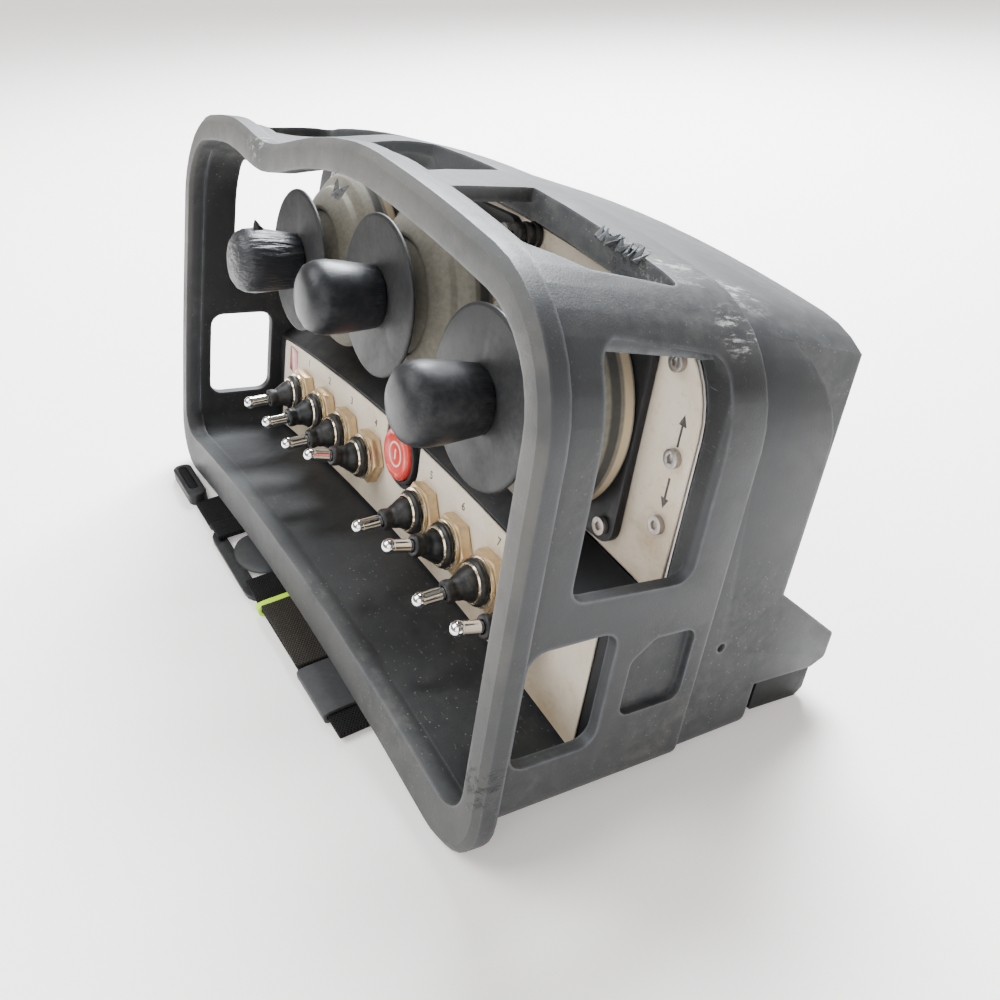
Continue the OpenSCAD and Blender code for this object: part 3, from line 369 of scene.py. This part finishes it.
def finish(name):
    """Each material is made once, when the first piece asks for it."""
    if name not in FINISHES:
        looks = bpy.context.scene.transmitter_looks
        guard, case, knob = tuple(looks.guard_color), tuple(looks.case_color), tuple(looks.knob_color)
        white, black = (0.42, 0.41, 0.39), (0.006, 0.006, 0.007)
        scars = ((at(0.027, 0.0, 0.158), 0.006, black, 9.0), (at(0.035, 0.0, 0.152), 0.005, (0.3, 0.2, 0.13), 3.0),
                 (at(0.098, 0.062, 0.159), 0.011, black, 7.0), (at(0.112, 0.068, 0.156), 0.014, white, 1.0),
                 (at(0.136, 0.074, 0.145), 0.012, white, 1.0), (at(0.152, 0.002, 0.02), 0.012, black, 3.0),
                 (at(-0.052, 0.003, 0.158), 0.012, white, 2.0), (at(0.149, 0.046, 0.147), 0.005, (0.4, 0.08, 0.02), 1.0))
        makers = {
            # The guard's rim tint (0.08, 0.077, 0.071) is the painted highlight on the rim's front face.
            "guard": lambda: moulded("guard plastic", guard, (0.15, 0.145, 0.13), 0.5, 0.00016,
                                     (0.08, 0.077, 0.071), scars),
            "case": lambda: moulded("case plastic", case, (0.14, 0.138, 0.13), 0.42, 0.00007, None,
                                    ((at(0.12, 0.088, 0.154), 0.014, white, 1.0),)),
            "deck": lambda: moulded("deck plastic", (0.008, 0.0085, 0.01), (0.085, 0.07, 0.052), 0.5, 0.00006),
            "battery": lambda: moulded("battery plastic", (0.003, 0.0034, 0.004), (0.02, 0.019, 0.017), 0.2, 0.00005),
            "knob": lambda: rubber("knob rubber", knob, (0.1, 0.092, 0.083), 0.3, 0.00007, 0.36),
            "worn_knob": lambda: worn_knob("worn knob rubber", knob),
            "disc": lambda: rubber("disc rubber", (0.017, 0.018, 0.02), (0.085, 0.075, 0.062), 0.36, 0.00006, 0.44),
            "boot": lambda: rubber("boot rubber", (0.005, 0.006, 0.008), (0.16, 0.13, 0.09), 0.3, 0.00006, 0.36),
            "bell": lambda: bell_rubber("bell rubber"),
            "face": lambda: printed_face("printed face"),
            "plate": lambda: plated("plate metal", (0.5, 0.5, 0.5), (0.3, 0.25, 0.2), 0.35, 0.3),
            "nut": lambda: plated("nut plating", (0.74, 0.56, 0.34), (0.4, 0.28, 0.16), 0.36, 0.5),
            "ring": lambda: plated("bright ring", (0.9, 0.77, 0.55), (0.42, 0.32, 0.2), 0.16, 0.4),
            "chrome": lambda: plated("chrome", (0.9, 0.9, 0.91), (0.5, 0.48, 0.45), 0.05, 0.06),
            "steel": lambda: plated("screw steel", (0.35, 0.34, 0.33), (0.3, 0.2, 0.13), 0.35, 0.55),
            "red": lambda: clear_red("stop red", (0.85, 0.075, 0.06), (0.7, 0.27, 0.22)),
            "window": lambda: clear_red("window red", (0.62, 0.16, 0.17), (0.45, 0.2, 0.18)),
            "webbing": lambda: webbing_cloth("belt webbing", (0.003, 0.003, 0.0035), (0.018, 0.017, 0.016)),
            "dusty_webbing": lambda: webbing_cloth("dusty webbing", (0.014, 0.012, 0.01), (0.07, 0.06, 0.047)),
            "belt_plastic": lambda: rubber("belt plastic", (0.008, 0.0085, 0.01), (0.07, 0.066, 0.06), 0.3, 0.00005, 0.4),
            "keeper": lambda: rubber("keeper rubber", (0.03, 0.031, 0.033), (0.09, 0.086, 0.08), 0.35, 0.00005, 0.45),
            "lime": lambda: rubber("lime rubber", (0.52, 0.85, 0.01), (0.6, 0.7, 0.2), 0.15, 0.00003, 0.4),
            "board": lambda: rubber("board lacquer", (0.01, 0.09, 0.03), (0.1, 0.12, 0.08), 0.2, 0.00002, 0.35),
            "print": lambda: flat_print("dark print", (0.035, 0.032, 0.03)),
            "pale_print": lambda: flat_print("pale print", (0.75, 0.6, 0.55)),
        }
        FINISHES[name] = makers[name]()
    return FINISHES[name]


# Modelling helpers


def only(obj):
    """Leaves just this object selected and active."""
    bpy.ops.object.select_all(action="DESELECT")
    obj.select_set(True)
    bpy.context.view_layer.objects.active = obj


def edit(obj, *steps):
    """Runs the given operators in edit mode on all of the mesh."""
    only(obj)
    bpy.ops.object.mode_set(mode="EDIT")
    bpy.ops.mesh.select_all(action="SELECT")
    for step in steps:
        step()
    bpy.ops.object.mode_set(mode="OBJECT")


def apply(obj, kind, **settings):
    only(obj)
    made = obj.modifiers.new(kind.lower(), kind)
    for key, value in settings.items():
        setattr(made, key, value)
    bpy.ops.object.modifier_apply(modifier=made.name)


def smooth(obj, angle=35.0):
    only(obj)
    bpy.ops.object.shade_smooth_by_angle(angle=math.radians(angle))


def settle(obj, material, body="case"):
    """Bakes the place into the mesh, gives the finish and lets the piece ride."""
    only(obj)
    bpy.ops.object.transform_apply(location=True, rotation=True, scale=True)
    obj.data.materials.clear()
    obj.data.materials.append(finish(material))
    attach(obj, body)
    return obj


def body_of_node(node):
    return frame["nodes"][node]["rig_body"]


def copy_of(node, name):
    """A welded copy of a solid, which a finer piece starts from."""
    obj = bpy.data.objects.new(name, frame["nodes"][node].data.copy())
    bpy.context.scene.collection.objects.link(obj)
    only(obj)
    if obj.data.has_custom_normals:
        bpy.ops.mesh.customdata_custom_splitnormals_clear()
    edit(obj, lambda: bpy.ops.mesh.remove_doubles(threshold=0.00001),
         lambda: bpy.ops.mesh.dissolve_limited(angle_limit=math.radians(0.8)))
    return obj


def dress(node, material, round_edges=0.0, segments=2, angle=32.0, soft=35.0):
    """Replaces a solid with its welded copy, its edges rounded and its curves smooth."""
    obj = copy_of(node, node + "_dressed")
    if round_edges:
        apply(obj, "BEVEL", width=round_edges, segments=segments, limit_method="ANGLE",
              angle_limit=math.radians(angle), miter_outer="MITER_ARC", harden_normals=False)
    smooth(obj, soft)
    settle(obj, material, body_of_node(node))
    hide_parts(node)
    return obj


def lathe(name, profile, turns=64):
    """A body turned about its own -Y axis: a vertex is drawn out along the profile and spun."""
    bpy.ops.object.select_all(action="DESELECT")
    bpy.ops.mesh.primitive_plane_add(size=0.001, enter_editmode=True)
    bpy.ops.mesh.merge(type="CENTER")
    obj = bpy.context.object
    obj.name = name
    bpy.ops.transform.translate(value=(profile[0][0], -profile[0][1], 0.0))
    for (r0, h0), (r1, h1) in zip(profile, profile[1:]):
        bpy.ops.mesh.extrude_region_move(TRANSFORM_OT_translate={"value": (r1 - r0, h0 - h1, 0.0)})
    bpy.ops.object.mode_set(mode="OBJECT")
    edit(obj, lambda: bpy.ops.mesh.spin(steps=turns, angle=2 * math.pi, center=(0, 0, 0), axis=(0, 1, 0)),
         lambda: bpy.ops.mesh.select_all(action="SELECT"),
         lambda: bpy.ops.mesh.remove_doubles(threshold=0.000005),
         lambda: bpy.ops.mesh.normals_make_consistent(inside=False))
    return obj


def joined(objects, name):
    bpy.ops.object.select_all(action="DESELECT")
    for obj in objects:
        obj.select_set(True)
    bpy.context.view_layer.objects.active = objects[0]
    bpy.ops.object.transform_apply(location=True, rotation=True, scale=True)
    bpy.ops.object.join()
    objects[0].name = name
    return objects[0]


def plate_of(name, points, y, depth):
    """A thin flat mark in X and Z on a face at y, from a filled circle whose points are drawn to its outline."""
    bpy.ops.object.select_all(action="DESELECT")
    bpy.ops.mesh.primitive_circle_add(vertices=len(points), radius=0.001, fill_type="NGON")
    obj = bpy.context.object
    obj.name = name
    for vertex, (px, pz) in zip(obj.data.vertices, points):
        vertex.co = (px, y, pz)
    edit(obj, lambda: bpy.ops.mesh.normals_make_consistent(inside=False))
    apply(obj, "SOLIDIFY", thickness=depth, offset=0.0)
    return obj


def strap(name, run, low, high, thick, wave=0.0):
    """A length of webbing on the floor's slope that follows its run in X and height."""
    steps = 48
    bpy.ops.object.select_all(action="DESELECT")
    bpy.ops.mesh.primitive_grid_add(x_subdivisions=steps, y_subdivisions=8, size=2.0)
    obj = bpy.context.object
    obj.name = name
    for vertex in obj.data.vertices:
        x = run[0][0] + (run[-1][0] - run[0][0]) * (vertex.co.x + 1) / 2
        (x0, z0), (x1, z1) = next(pair for pair in zip(run, run[1:]) if x <= pair[1][0] + 1e-9)
        z = z0 + (z1 - z0) * ease(x, x0, x1)
        y = low + (high - low) * (vertex.co.y + 1) / 2
        y += wave * 0.8 * math.sin(x * 95.0)
        vertex.co = (x, y, z + thick / 2 + wave * abs(math.sin(x * 70.0 + y * 40.0)))
    apply(obj, "SOLIDIFY", thickness=thick, offset=0.0)
    apply(obj, "BEVEL", width=thick * 0.3, segments=2, limit_method="ANGLE", angle_limit=math.radians(50))
    obj.data.transform(SLOPE)
    smooth(obj, 50.0)
    return obj


def band_round(name, x, width, low, high, height, thick):
    """A band bent round the webbing: a circle drawn out to a rounded oblong, extruded along X and given its wall."""
    bpy.ops.object.select_all(action="DESELECT")
    bpy.ops.mesh.primitive_circle_add(vertices=48, radius=1.0)
    band = bpy.context.object
    band.name = name
    for vertex in band.data.vertices:
        turn = math.atan2(vertex.co.y, vertex.co.x)
        cos, sin = math.cos(turn), math.sin(turn)
        vertex.co = (x, (low + high) / 2 + (high - low) / 2 * math.copysign(abs(cos) ** 0.22, cos),
                     height * (0.5 + 0.5 * math.copysign(abs(sin) ** 0.45, sin)))
    steps = 6
    bpy.ops.object.mode_set(mode="EDIT")
    bpy.ops.mesh.select_all(action="SELECT")
    for _ in range(steps):
        bpy.ops.mesh.extrude_region_move(TRANSFORM_OT_translate={"value": (width / steps, 0.0, 0.0)})
    bpy.ops.mesh.select_all(action="SELECT")
    bpy.ops.mesh.normals_make_consistent(inside=False)
    bpy.ops.object.mode_set(mode="OBJECT")
    apply(band, "SOLIDIFY", thickness=thick, offset=-1.0)
    apply(band, "BEVEL", width=thick * 0.42, segments=4, limit_method="ANGLE", angle_limit=math.radians(60))
    band.data.transform(SLOPE)
    smooth(band, 50.0)
    return band


# Sizes and colours that a user would change


class TransmitterLooks(bpy.types.PropertyGroup):
    """Colours and roundings of the transmitter."""

    guard_color: bpy.props.FloatVectorProperty(
        name="Guard colour", description="Base colour of the guard frame", subtype="COLOR", size=3,
        default=(0.032, 0.034, 0.037), min=0.0, max=1.0)
    case_color: bpy.props.FloatVectorProperty(
        name="Case colour", description="Base colour of the rear case", subtype="COLOR", size=3,
        default=(0.033, 0.035, 0.038), min=0.0, max=1.0)
    knob_color: bpy.props.FloatVectorProperty(
        name="Knob colour", description="Base colour of the joystick knobs", subtype="COLOR", size=3,
        default=(0.008, 0.009, 0.012), min=0.0, max=1.0)
    edge_round: bpy.props.FloatProperty(
        name="Edge rounding", description="Radius of the guard's moulded edges", unit="LENGTH",
        default=0.0011, min=0.0002, max=0.003)


# Operators, one for each piece or group of like pieces


class TRANSMITTER_OT_guard(bpy.types.Operator):
    """Makes the moulded guard frame with rounded edges"""

    bl_idname = "transmitter.guard"
    bl_label = "Guard frame"

    def execute(self, context):
        guard = copy_of("guard_frame", "guard_frame_dressed")
        cuts = [((x / 1000, 0, 0), (1, 0, 0)) for x in range(-148, 61, 8)]
        cuts += [(at(0, y / 1000, 0), (0, 1, 0)) for y in (4, 9, 14, 20, 28, 36, 44, 52, 60)]
        cuts += [(at(0, 0, z / 1000), (0, 0, 1)) for z in range(40, 166, 9)]
        for place, way in cuts:
            edit(guard, lambda: bpy.ops.mesh.bisect(plane_co=place, plane_no=way))
        for vertex in guard.data.vertices:
            self.press(vertex.co)
        apply(guard, "BEVEL", width=context.scene.transmitter_looks.edge_round, segments=3,
              limit_method="ANGLE", angle_limit=math.radians(30.0), miter_outer="MITER_ARC")
        smooth(guard, 40.0)
        settle(guard, "guard", "case")
        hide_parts("guard_frame")
        self.flakes()
        return {"FINISHED"}

    def press(self, point):
        """An old blow pressed the top bar down left of the middle, and its corner leans in."""
        x, y, z = point.x, point.y - SHIFT_Y, point.z - SHIFT_Z
        share = 1 - ease(y, 0.01, 0.062)
        sunk = 0.0075 * math.exp(-((x + 0.044) / 0.03) ** 2) + 0.0066 * (1 - ease(x, -0.02, 0.05))
        point.z -= share * ease(z, 0.085, 0.15) * sunk
        point.x += 0.0055 * share * (1 - ease(x, -0.15, -0.05)) * ease(z, 0.03, 0.15)

    def flakes(self):
        """Torn plastic that stands up at the rear edge of the top window and by the nick in the rim."""
        shreds = []
        for index in range(13):
            spread = noise.noise(Vector((index * 1.7, 0.3, 0.9)))
            lift = noise.noise(Vector((0.2, index * 2.3, 0.4)))
            x = 0.086 + 0.0021 * index
            if index > 10:
                x = 0.026 + 0.004 * (index - 11)
            spot = at(x, 0.0595 + 0.001 * lift, 0.1598 - 0.005 * (x / 0.1) ** 2 + 0.0035)
            if index > 10:
                spot = at(x, 0.0005, 0.157)
            bpy.ops.object.select_all(action="DESELECT")
            bpy.ops.mesh.primitive_cone_add(vertices=6, radius1=0.0017, radius2=0.0002,
                                            depth=0.004 + 0.003 * abs(spread), location=spot,
                                            rotation=(0.9 * spread - 0.5, 1.6 * lift, 2.0 * spread))
            shred = bpy.context.object
            shred.scale = (1.0, 0.4, 1.0)
            edit(shred, lambda: bpy.ops.mesh.subdivide(number_cuts=2))
            for vertex in shred.data.vertices:
                vertex.co += 0.0006 * noise.noise_vector(vertex.co * 700.0 + Vector((index, 0, 0)))
            shreds.append(shred)
        torn = joined(shreds, "torn_flakes")
        smooth(torn, 30.0)
        settle(torn, "guard", "case")


class TRANSMITTER_OT_case(bpy.types.Operator):
    """Makes the rear case and the battery"""

    bl_idname = "transmitter.case"
    bl_label = "Rear case and battery"

    def execute(self, context):
        dress("rear_case", "case", 0.0016, 3, 30.0, 40.0)
        dress("battery_pack", "battery", 0.0006, 2)
        return {"FINISHED"}


class TRANSMITTER_OT_panel(bpy.types.Operator):
    """Makes the panel with its black step, printed faces, seal and screws"""

    bl_idname = "transmitter.panel"
    bl_label = "Panel"

    def execute(self, context):
        dress("toggle_deck", "deck", 0.0006, 2)
        dress("joystick_plate", "plate")
        dress("joystick_face", "face", 0.0002, 1)
        dress("toggle_face", "face", 0.0002, 1)
        dress("panel_seal", "boot")
        dress("panel_screws", "steel", 0.0002, 2)
        dress("status_window", "window", 0.0002, 2)
        dress("cable_grommet", "boot", 0.0003, 2)
        return {"FINISHED"}


class TRANSMITTER_OT_marks(bpy.types.Operator):
    """Makes the plain printed marks: arrows beside the joysticks and numbers over the toggles"""

    bl_idname = "transmitter.marks"
    bl_label = "Printed marks"

    def execute(self, context):
        marks = []
        face_y = STICK_PIVOT - 0.003 + SHIFT_Y - 0.00006
        deck_y = 0.0475 + SHIFT_Y - 0.00006
        for x in (0.1325, -0.1325):
            for z, way in ((0.1135, 1), (0.0955, -1)):
                cx, cz = x, z + SHIFT_Z
                head = [(cx, cz + way * 0.006), (cx - 0.0017, cz + way * 0.0026), (cx - 0.0004, cz + way * 0.0026),
                        (cx - 0.0004, cz - way * 0.004), (cx + 0.0004, cz - way * 0.004),
                        (cx + 0.0004, cz + way * 0.0026), (cx + 0.0017, cz + way * 0.0026)]
                marks.append(plate_of("arrow", head, face_y, 0.00008))
        for number, k in enumerate(TOGGLES, 1):
            bpy.ops.object.text_add(location=(0, 0, 0), rotation=(math.pi / 2, 0, 0))
            text = context.object
            text.data.body = str(number)
            text.data.size = 0.0048
            text.data.align_x = "CENTER"
            text.data.extrude = 0.00004
            spot = toggle_at(k)
            text.location = (spot.x, deck_y, spot.z + 0.0136)
            bpy.ops.object.convert(target="MESH")
            marks.append(context.object)
        settle(joined(marks, "printed_marks"), "print", "case")
        return {"FINISHED"}


class TRANSMITTER_OT_joysticks(bpy.types.Operator):
    """Makes the joysticks: flanges, bells, gaiters, discs and knobs"""

    bl_idname = "transmitter.joysticks"
    bl_label = "Joysticks"

    def execute(self, context):
        dress("joystick_flanges", "deck", 0.0006, 2)
        dress("flange_screws", "steel", 0.0002, 2)
        dress("boot_bells", "bell", 0.0006, 3, 20.0, 50.0)
        dress("gimbal_bases", "deck")
        for side in STICKS:
            dress("gimbal_ring_" + side, "nut", 0.0003)
            dress("stick_shaft_" + side, "steel", 0.0003)
            dress("stick_gaiter_" + side, "bell", 0.0, soft=60.0)
            dress("stick_disc_" + side, "disc", 0.0004, 2, 20.0, 40.0)
            dress("stick_knob_" + side, "worn_knob" if side == "left" else "knob", 0.0004, 2, 50.0, 60.0)
        self.torn_tip()
        return {"FINISHED"}


    def torn_tip(self):
        """A torn point of rubber that stands up on the left knob."""
        bpy.ops.object.select_all(action="DESELECT")
        bpy.ops.mesh.primitive_cone_add(vertices=8, radius1=0.0028, radius2=0.0002, depth=0.0052,
                                        location=at(-0.0794, 0.011, 0.1056 + 0.0146), rotation=(0.35, 0.1, 0.0))
        tip = bpy.context.object
        tip.name = "knob_torn_tip"
        tip.scale = (0.6, 1.0, 1.0)
        edit(tip, lambda: bpy.ops.mesh.subdivide(number_cuts=2))
        for vertex in tip.data.vertices:
            vertex.co += 0.0005 * noise.noise_vector(vertex.co * 600.0)
        smooth(tip, 40.0)
        settle(tip, "worn_knob", body_of_node("stick_knob_left"))


class TRANSMITTER_OT_toggles(bpy.types.Operator):
    """Makes the toggles: nuts, rings, rubber boots and chrome levers"""

    bl_idname = "transmitter.toggles"
    bl_label = "Toggles"

    def execute(self, context):
        dress("toggle_bodies", "deck")
        dress("toggle_nuts", "nut", 0.0005, 2)
        dress("toggle_dress_rings", "ring", 0.0002, 2)
        dress("toggle_seals", "boot", 0.0003, 2)
        rings = []
        for number, (k, lean) in enumerate(zip(TOGGLES, LEAN), 1):
            dress("toggle_lever_%d" % number, "chrome", 0.0, soft=50.0)
            ring = lathe("inner_ring", [(0.0066, -0.0002), (0.0075, -0.0002), (0.0077, 0.0003), (0.0074, 0.0008),
                                        (0.0068, 0.0008), (0.0066, 0.0004), (0.0066, -0.0002)], 40)
            ring.location = toggle_at(k, 0.0383)
            rings.append(ring)
            self.boot(number, k, lean)
        inner = joined(rings, "toggle_inner_rings")
        smooth(inner, 45.0)
        settle(inner, "ring", "case")
        return {"FINISHED"}

    def boot(self, number, k, lean):
        """A rubber boot whose foot stays in the bushing and whose neck follows the lever."""
        profile = [(0.0030, 0.0026), (0.0064, 0.0027), (0.0066, 0.0034), (0.0064, 0.0044), (0.0058, 0.0056),
                   (0.0051, 0.0066), (0.0047, 0.0076), (0.0046, 0.0084), (0.0041, 0.0092), (0.0040, 0.0100),
                   (0.0043, 0.0108), (0.0044, 0.0120), (0.0042, 0.0130), (0.0038, 0.0134), (0.0026, 0.0134)]
        boot = lathe("toggle_boot_%d_rubber" % number, profile, 40)
        apply(boot, "SUBSURF", levels=1, render_levels=1)
        foot, neck = 0.004, 0.0095
        pivot = toggle_at(k)
        for vertex in boot.data.vertices:
            share = min(1.0, max(0.0, (-vertex.co.y - foot) / (neck - foot)))
            share = share * share * (3 - 2 * share)
            vertex.co = Matrix.Rotation(lean * TOGGLE_TILT * share, 3, "X") @ vertex.co + pivot
        smooth(boot, 60.0)
        boot.data.materials.append(finish("boot"))
        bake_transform(boot)
        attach(boot, "case")
        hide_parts("toggle_boot_%d" % number)


class TRANSMITTER_OT_stop(bpy.types.Operator):
    """Makes the stop button, its bezel and its ring mark"""

    bl_idname = "transmitter.stop"
    bl_label = "Stop button"

    def execute(self, context):
        dress("stop_bezel", "deck", 0.0005, 2)
        dress("stop_button", "red", 0.0004, 2, 40.0, 40.0)
        ring = lathe("ring", [(0.0046, 0.0), (0.0054, 0.0), (0.0054, 0.00012), (0.0046, 0.00012), (0.0046, 0.0)], 48)
        spot = at(0.0, 0.0475 - 0.0035 + 0.0005, 0.0484)
        ring.location = spot
        bar = plate_of("bar", [(-0.0005, -0.0022), (0.0005, -0.0022), (0.0005, 0.0022), (-0.0005, 0.0022)], -0.00006, 0.00012)
        bar.location = spot
        settle(joined([ring, bar], "stop_mark"), "pale_print", "stop")
        return {"FINISHED"}


class TRANSMITTER_OT_belt(bpy.types.Operator):
    """Makes the belt that lies under the rim: webbing, buckle, keeper, loop and hook"""

    bl_idname = "transmitter.belt"
    bl_label = "Belt"

    def execute(self, context):
        main_run = strap("belt_webbing_main", [(-0.022, 0.0027), (-0.0087, 0.0027), (-0.006, 0.0015),
                                               (0.081, 0.0015)], -0.008, 0.019, 0.0022)
        stub = strap("belt_webbing_stub", [(-0.099, 0.0003), (-0.075, 0.0003), (-0.0723, 0.0027),
                                           (-0.06, 0.0027)], -0.008, 0.019, 0.0022)
        webbing = joined([main_run, stub], "belt_webbing_woven")
        settle(webbing, "webbing", "case")
        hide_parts("belt_webbing")
        fold = strap("belt_fold", [(0.0005, 0.0047), (0.008, 0.0043), (0.034, 0.0042), (0.042, 0.004)],
                     -0.0085, 0.014, 0.0019, 0.0005)
        settle(fold, "dusty_webbing", "case")
        dress("belt_buckle", "belt_plastic", 0.0009, 3)
        for node, material, x, width, thick in (("belt_keeper", "keeper", 0.043, 0.027, 0.0012),
                                                ("belt_ring", "lime", -0.004, 0.0034, 0.0012)):
            band = band_round(node + "_round", x, width, -0.0095, 0.0205, 0.0052, thick)
            settle(band, material, "case")
            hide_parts(node)
        dress("belt_hook", "belt_plastic", 0.0016, 4)
        bpy.ops.object.select_all(action="DESELECT")
        bpy.ops.mesh.primitive_uv_sphere_add(segments=40, ring_count=20, radius=1.0)
        plate = context.object
        plate.name = "buckle_plate"
        plate.scale = (0.0165, 0.0105, 0.0024)
        edit(plate, lambda: bpy.ops.mesh.bisect(plane_co=(0, 0, 0), plane_no=(0, 0, 1), use_fill=True,
                                                clear_inner=True))
        only(plate)
        bpy.ops.object.transform_apply(location=True, rotation=True, scale=True)
        plate.data.transform(SLOPE @ Matrix.Translation((-0.041, 0.0045, 0.0024)))
        smooth(plate, 50.0)
        settle(plate, "keeper", "case")
        bpy.ops.object.select_all(action="DESELECT")
        bpy.ops.mesh.primitive_cube_add(size=1.0)
        loop = context.object
        loop.name = "hook_strap"
        loop.scale = (0.0236, 0.0041, 0.0054)
        only(loop)
        bpy.ops.object.transform_apply(location=True, rotation=True, scale=True)
        apply(loop, "BEVEL", width=0.0009, segments=3)
        loop.data.transform(SLOPE @ Matrix.Translation((-0.1186, -0.0055, 0.003)))
        smooth(loop, 50.0)
        settle(loop, "webbing", "case")
        return {"FINISHED"}


class TRANSMITTER_OT_inner(bpy.types.Operator):
    """Gives the electronics their finishes"""

    bl_idname = "transmitter.inner"
    bl_label = "Electronics"

    def execute(self, context):
        dress("control_board", "board")
        dress("radio_module", "plate", 0.0005)
        return {"FINISHED"}


class TRANSMITTER_OT_stage(bpy.types.Operator):
    """Makes the pale floor with its painted glow, the lights and the camera"""

    bl_idname = "transmitter.stage"
    bl_label = "Stage"

    def execute(self, context):
        scene = context.scene
        bpy.ops.mesh.primitive_plane_add(size=80.0)
        floor = context.object
        floor.name = "floor"
        floor.rotation_euler = (TILT, 0, 0)
        floor.location = (0, RIM_Y, SHIFT_Z - 0.018159)
        f = Finish("pale floor")
        # Painted light: the floor glows, weakly near the box and strongly far from it, where the lamps fall off.
        painted_floor_glow = f.mix(f.near((0.0, 0.0, 0.0), 0.4, 2.6), (1.1, 1.09, 1.08), (0.27, 0.255, 0.24))
        f.put(f.shader.inputs["Emission Color"], painted_floor_glow)
        floor.data.materials.append(f.close((0.97, 0.94, 0.91), 0.6, Emission_Strength=1.0))
        only(floor)
        bpy.ops.object.transform_apply(location=True, rotation=True, scale=True)
        world = bpy.data.worlds.new("studio")
        scene.world = world
        world.use_nodes = True
        world.node_tree.nodes["Background"].inputs[0].default_value = (1.0, 0.89, 0.78, 1)
        world.node_tree.nodes["Background"].inputs[1].default_value = 0.36
        for name, place, size, power, tint in (
                ("key", (-0.75, 0.45, 1.25), 0.8, 122.0, (0.93, 0.97, 1.0)),
                ("fill", (0.95, -0.75, 0.6), 1.1, 11.0, (0.93, 0.965, 1.0)),
                ("front", (-0.5, -1.15, 1.2), 1.2, 36.0, (0.93, 0.97, 1.0))):
            light = bpy.data.objects.new(name, bpy.data.lights.new(name, "AREA"))
            scene.collection.objects.link(light)
            light.data.size = size
            light.data.energy = power
            light.data.color = tint
            light.location = place
            light.rotation_euler = (Vector((0, 0, 0.08)) - Vector(place)).to_track_quat("-Z", "Y").to_euler()
        camera = bpy.data.objects.new("camera", bpy.data.cameras.new("camera"))
        scene.collection.objects.link(camera)
        turn = Vector((1.7545629734, 1.0983945877, -0.4972382493))
        look = Matrix.Rotation(turn.length, 3, turn.normalized())
        right, down, ahead = look[0], look[1], look[2]
        pose = Matrix((right, -down, -ahead)).transposed().to_4x4()
        pose.translation = Vector((0.3166322, -0.1231655 + SHIFT_Y, 0.212644 + SHIFT_Z))
        camera.matrix_world = pose
        camera.data.lens = 964.1874 * 36.0 / 1000.0
        camera.data.clip_start = 0.01
        scene.camera = camera
        return {"FINISHED"}


class TRANSMITTER_PT_tools(bpy.types.Panel):
    """Lists the pieces of the transmitter"""

    bl_label = "Transmitter"
    bl_idname = "TRANSMITTER_PT_tools"
    bl_space_type = "VIEW_3D"
    bl_region_type = "UI"
    bl_category = "Transmitter"

    def draw(self, context):
        looks = context.scene.transmitter_looks
        for name in ("guard_color", "case_color", "knob_color", "edge_round"):
            self.layout.prop(looks, name)
        for step in STEPS:
            self.layout.operator(step.bl_idname)


STEPS = (TRANSMITTER_OT_guard, TRANSMITTER_OT_case, TRANSMITTER_OT_panel, TRANSMITTER_OT_marks,
         TRANSMITTER_OT_joysticks, TRANSMITTER_OT_toggles, TRANSMITTER_OT_stop, TRANSMITTER_OT_belt,
         TRANSMITTER_OT_inner, TRANSMITTER_OT_stage)
CLASSES = (TransmitterLooks,) + STEPS + (TRANSMITTER_PT_tools,)


def register():
    for cls in CLASSES:
        bpy.utils.register_class(cls)
    bpy.types.Scene.transmitter_looks = bpy.props.PointerProperty(type=TransmitterLooks)


def unregister():
    del bpy.types.Scene.transmitter_looks
    for cls in reversed(CLASSES):
        bpy.utils.unregister_class(cls)


def main():
    register()
    for step in STEPS:
        getattr(bpy.ops.transmitter, step.bl_idname.split(".")[1])()


if __name__ == "__main__":
    main()
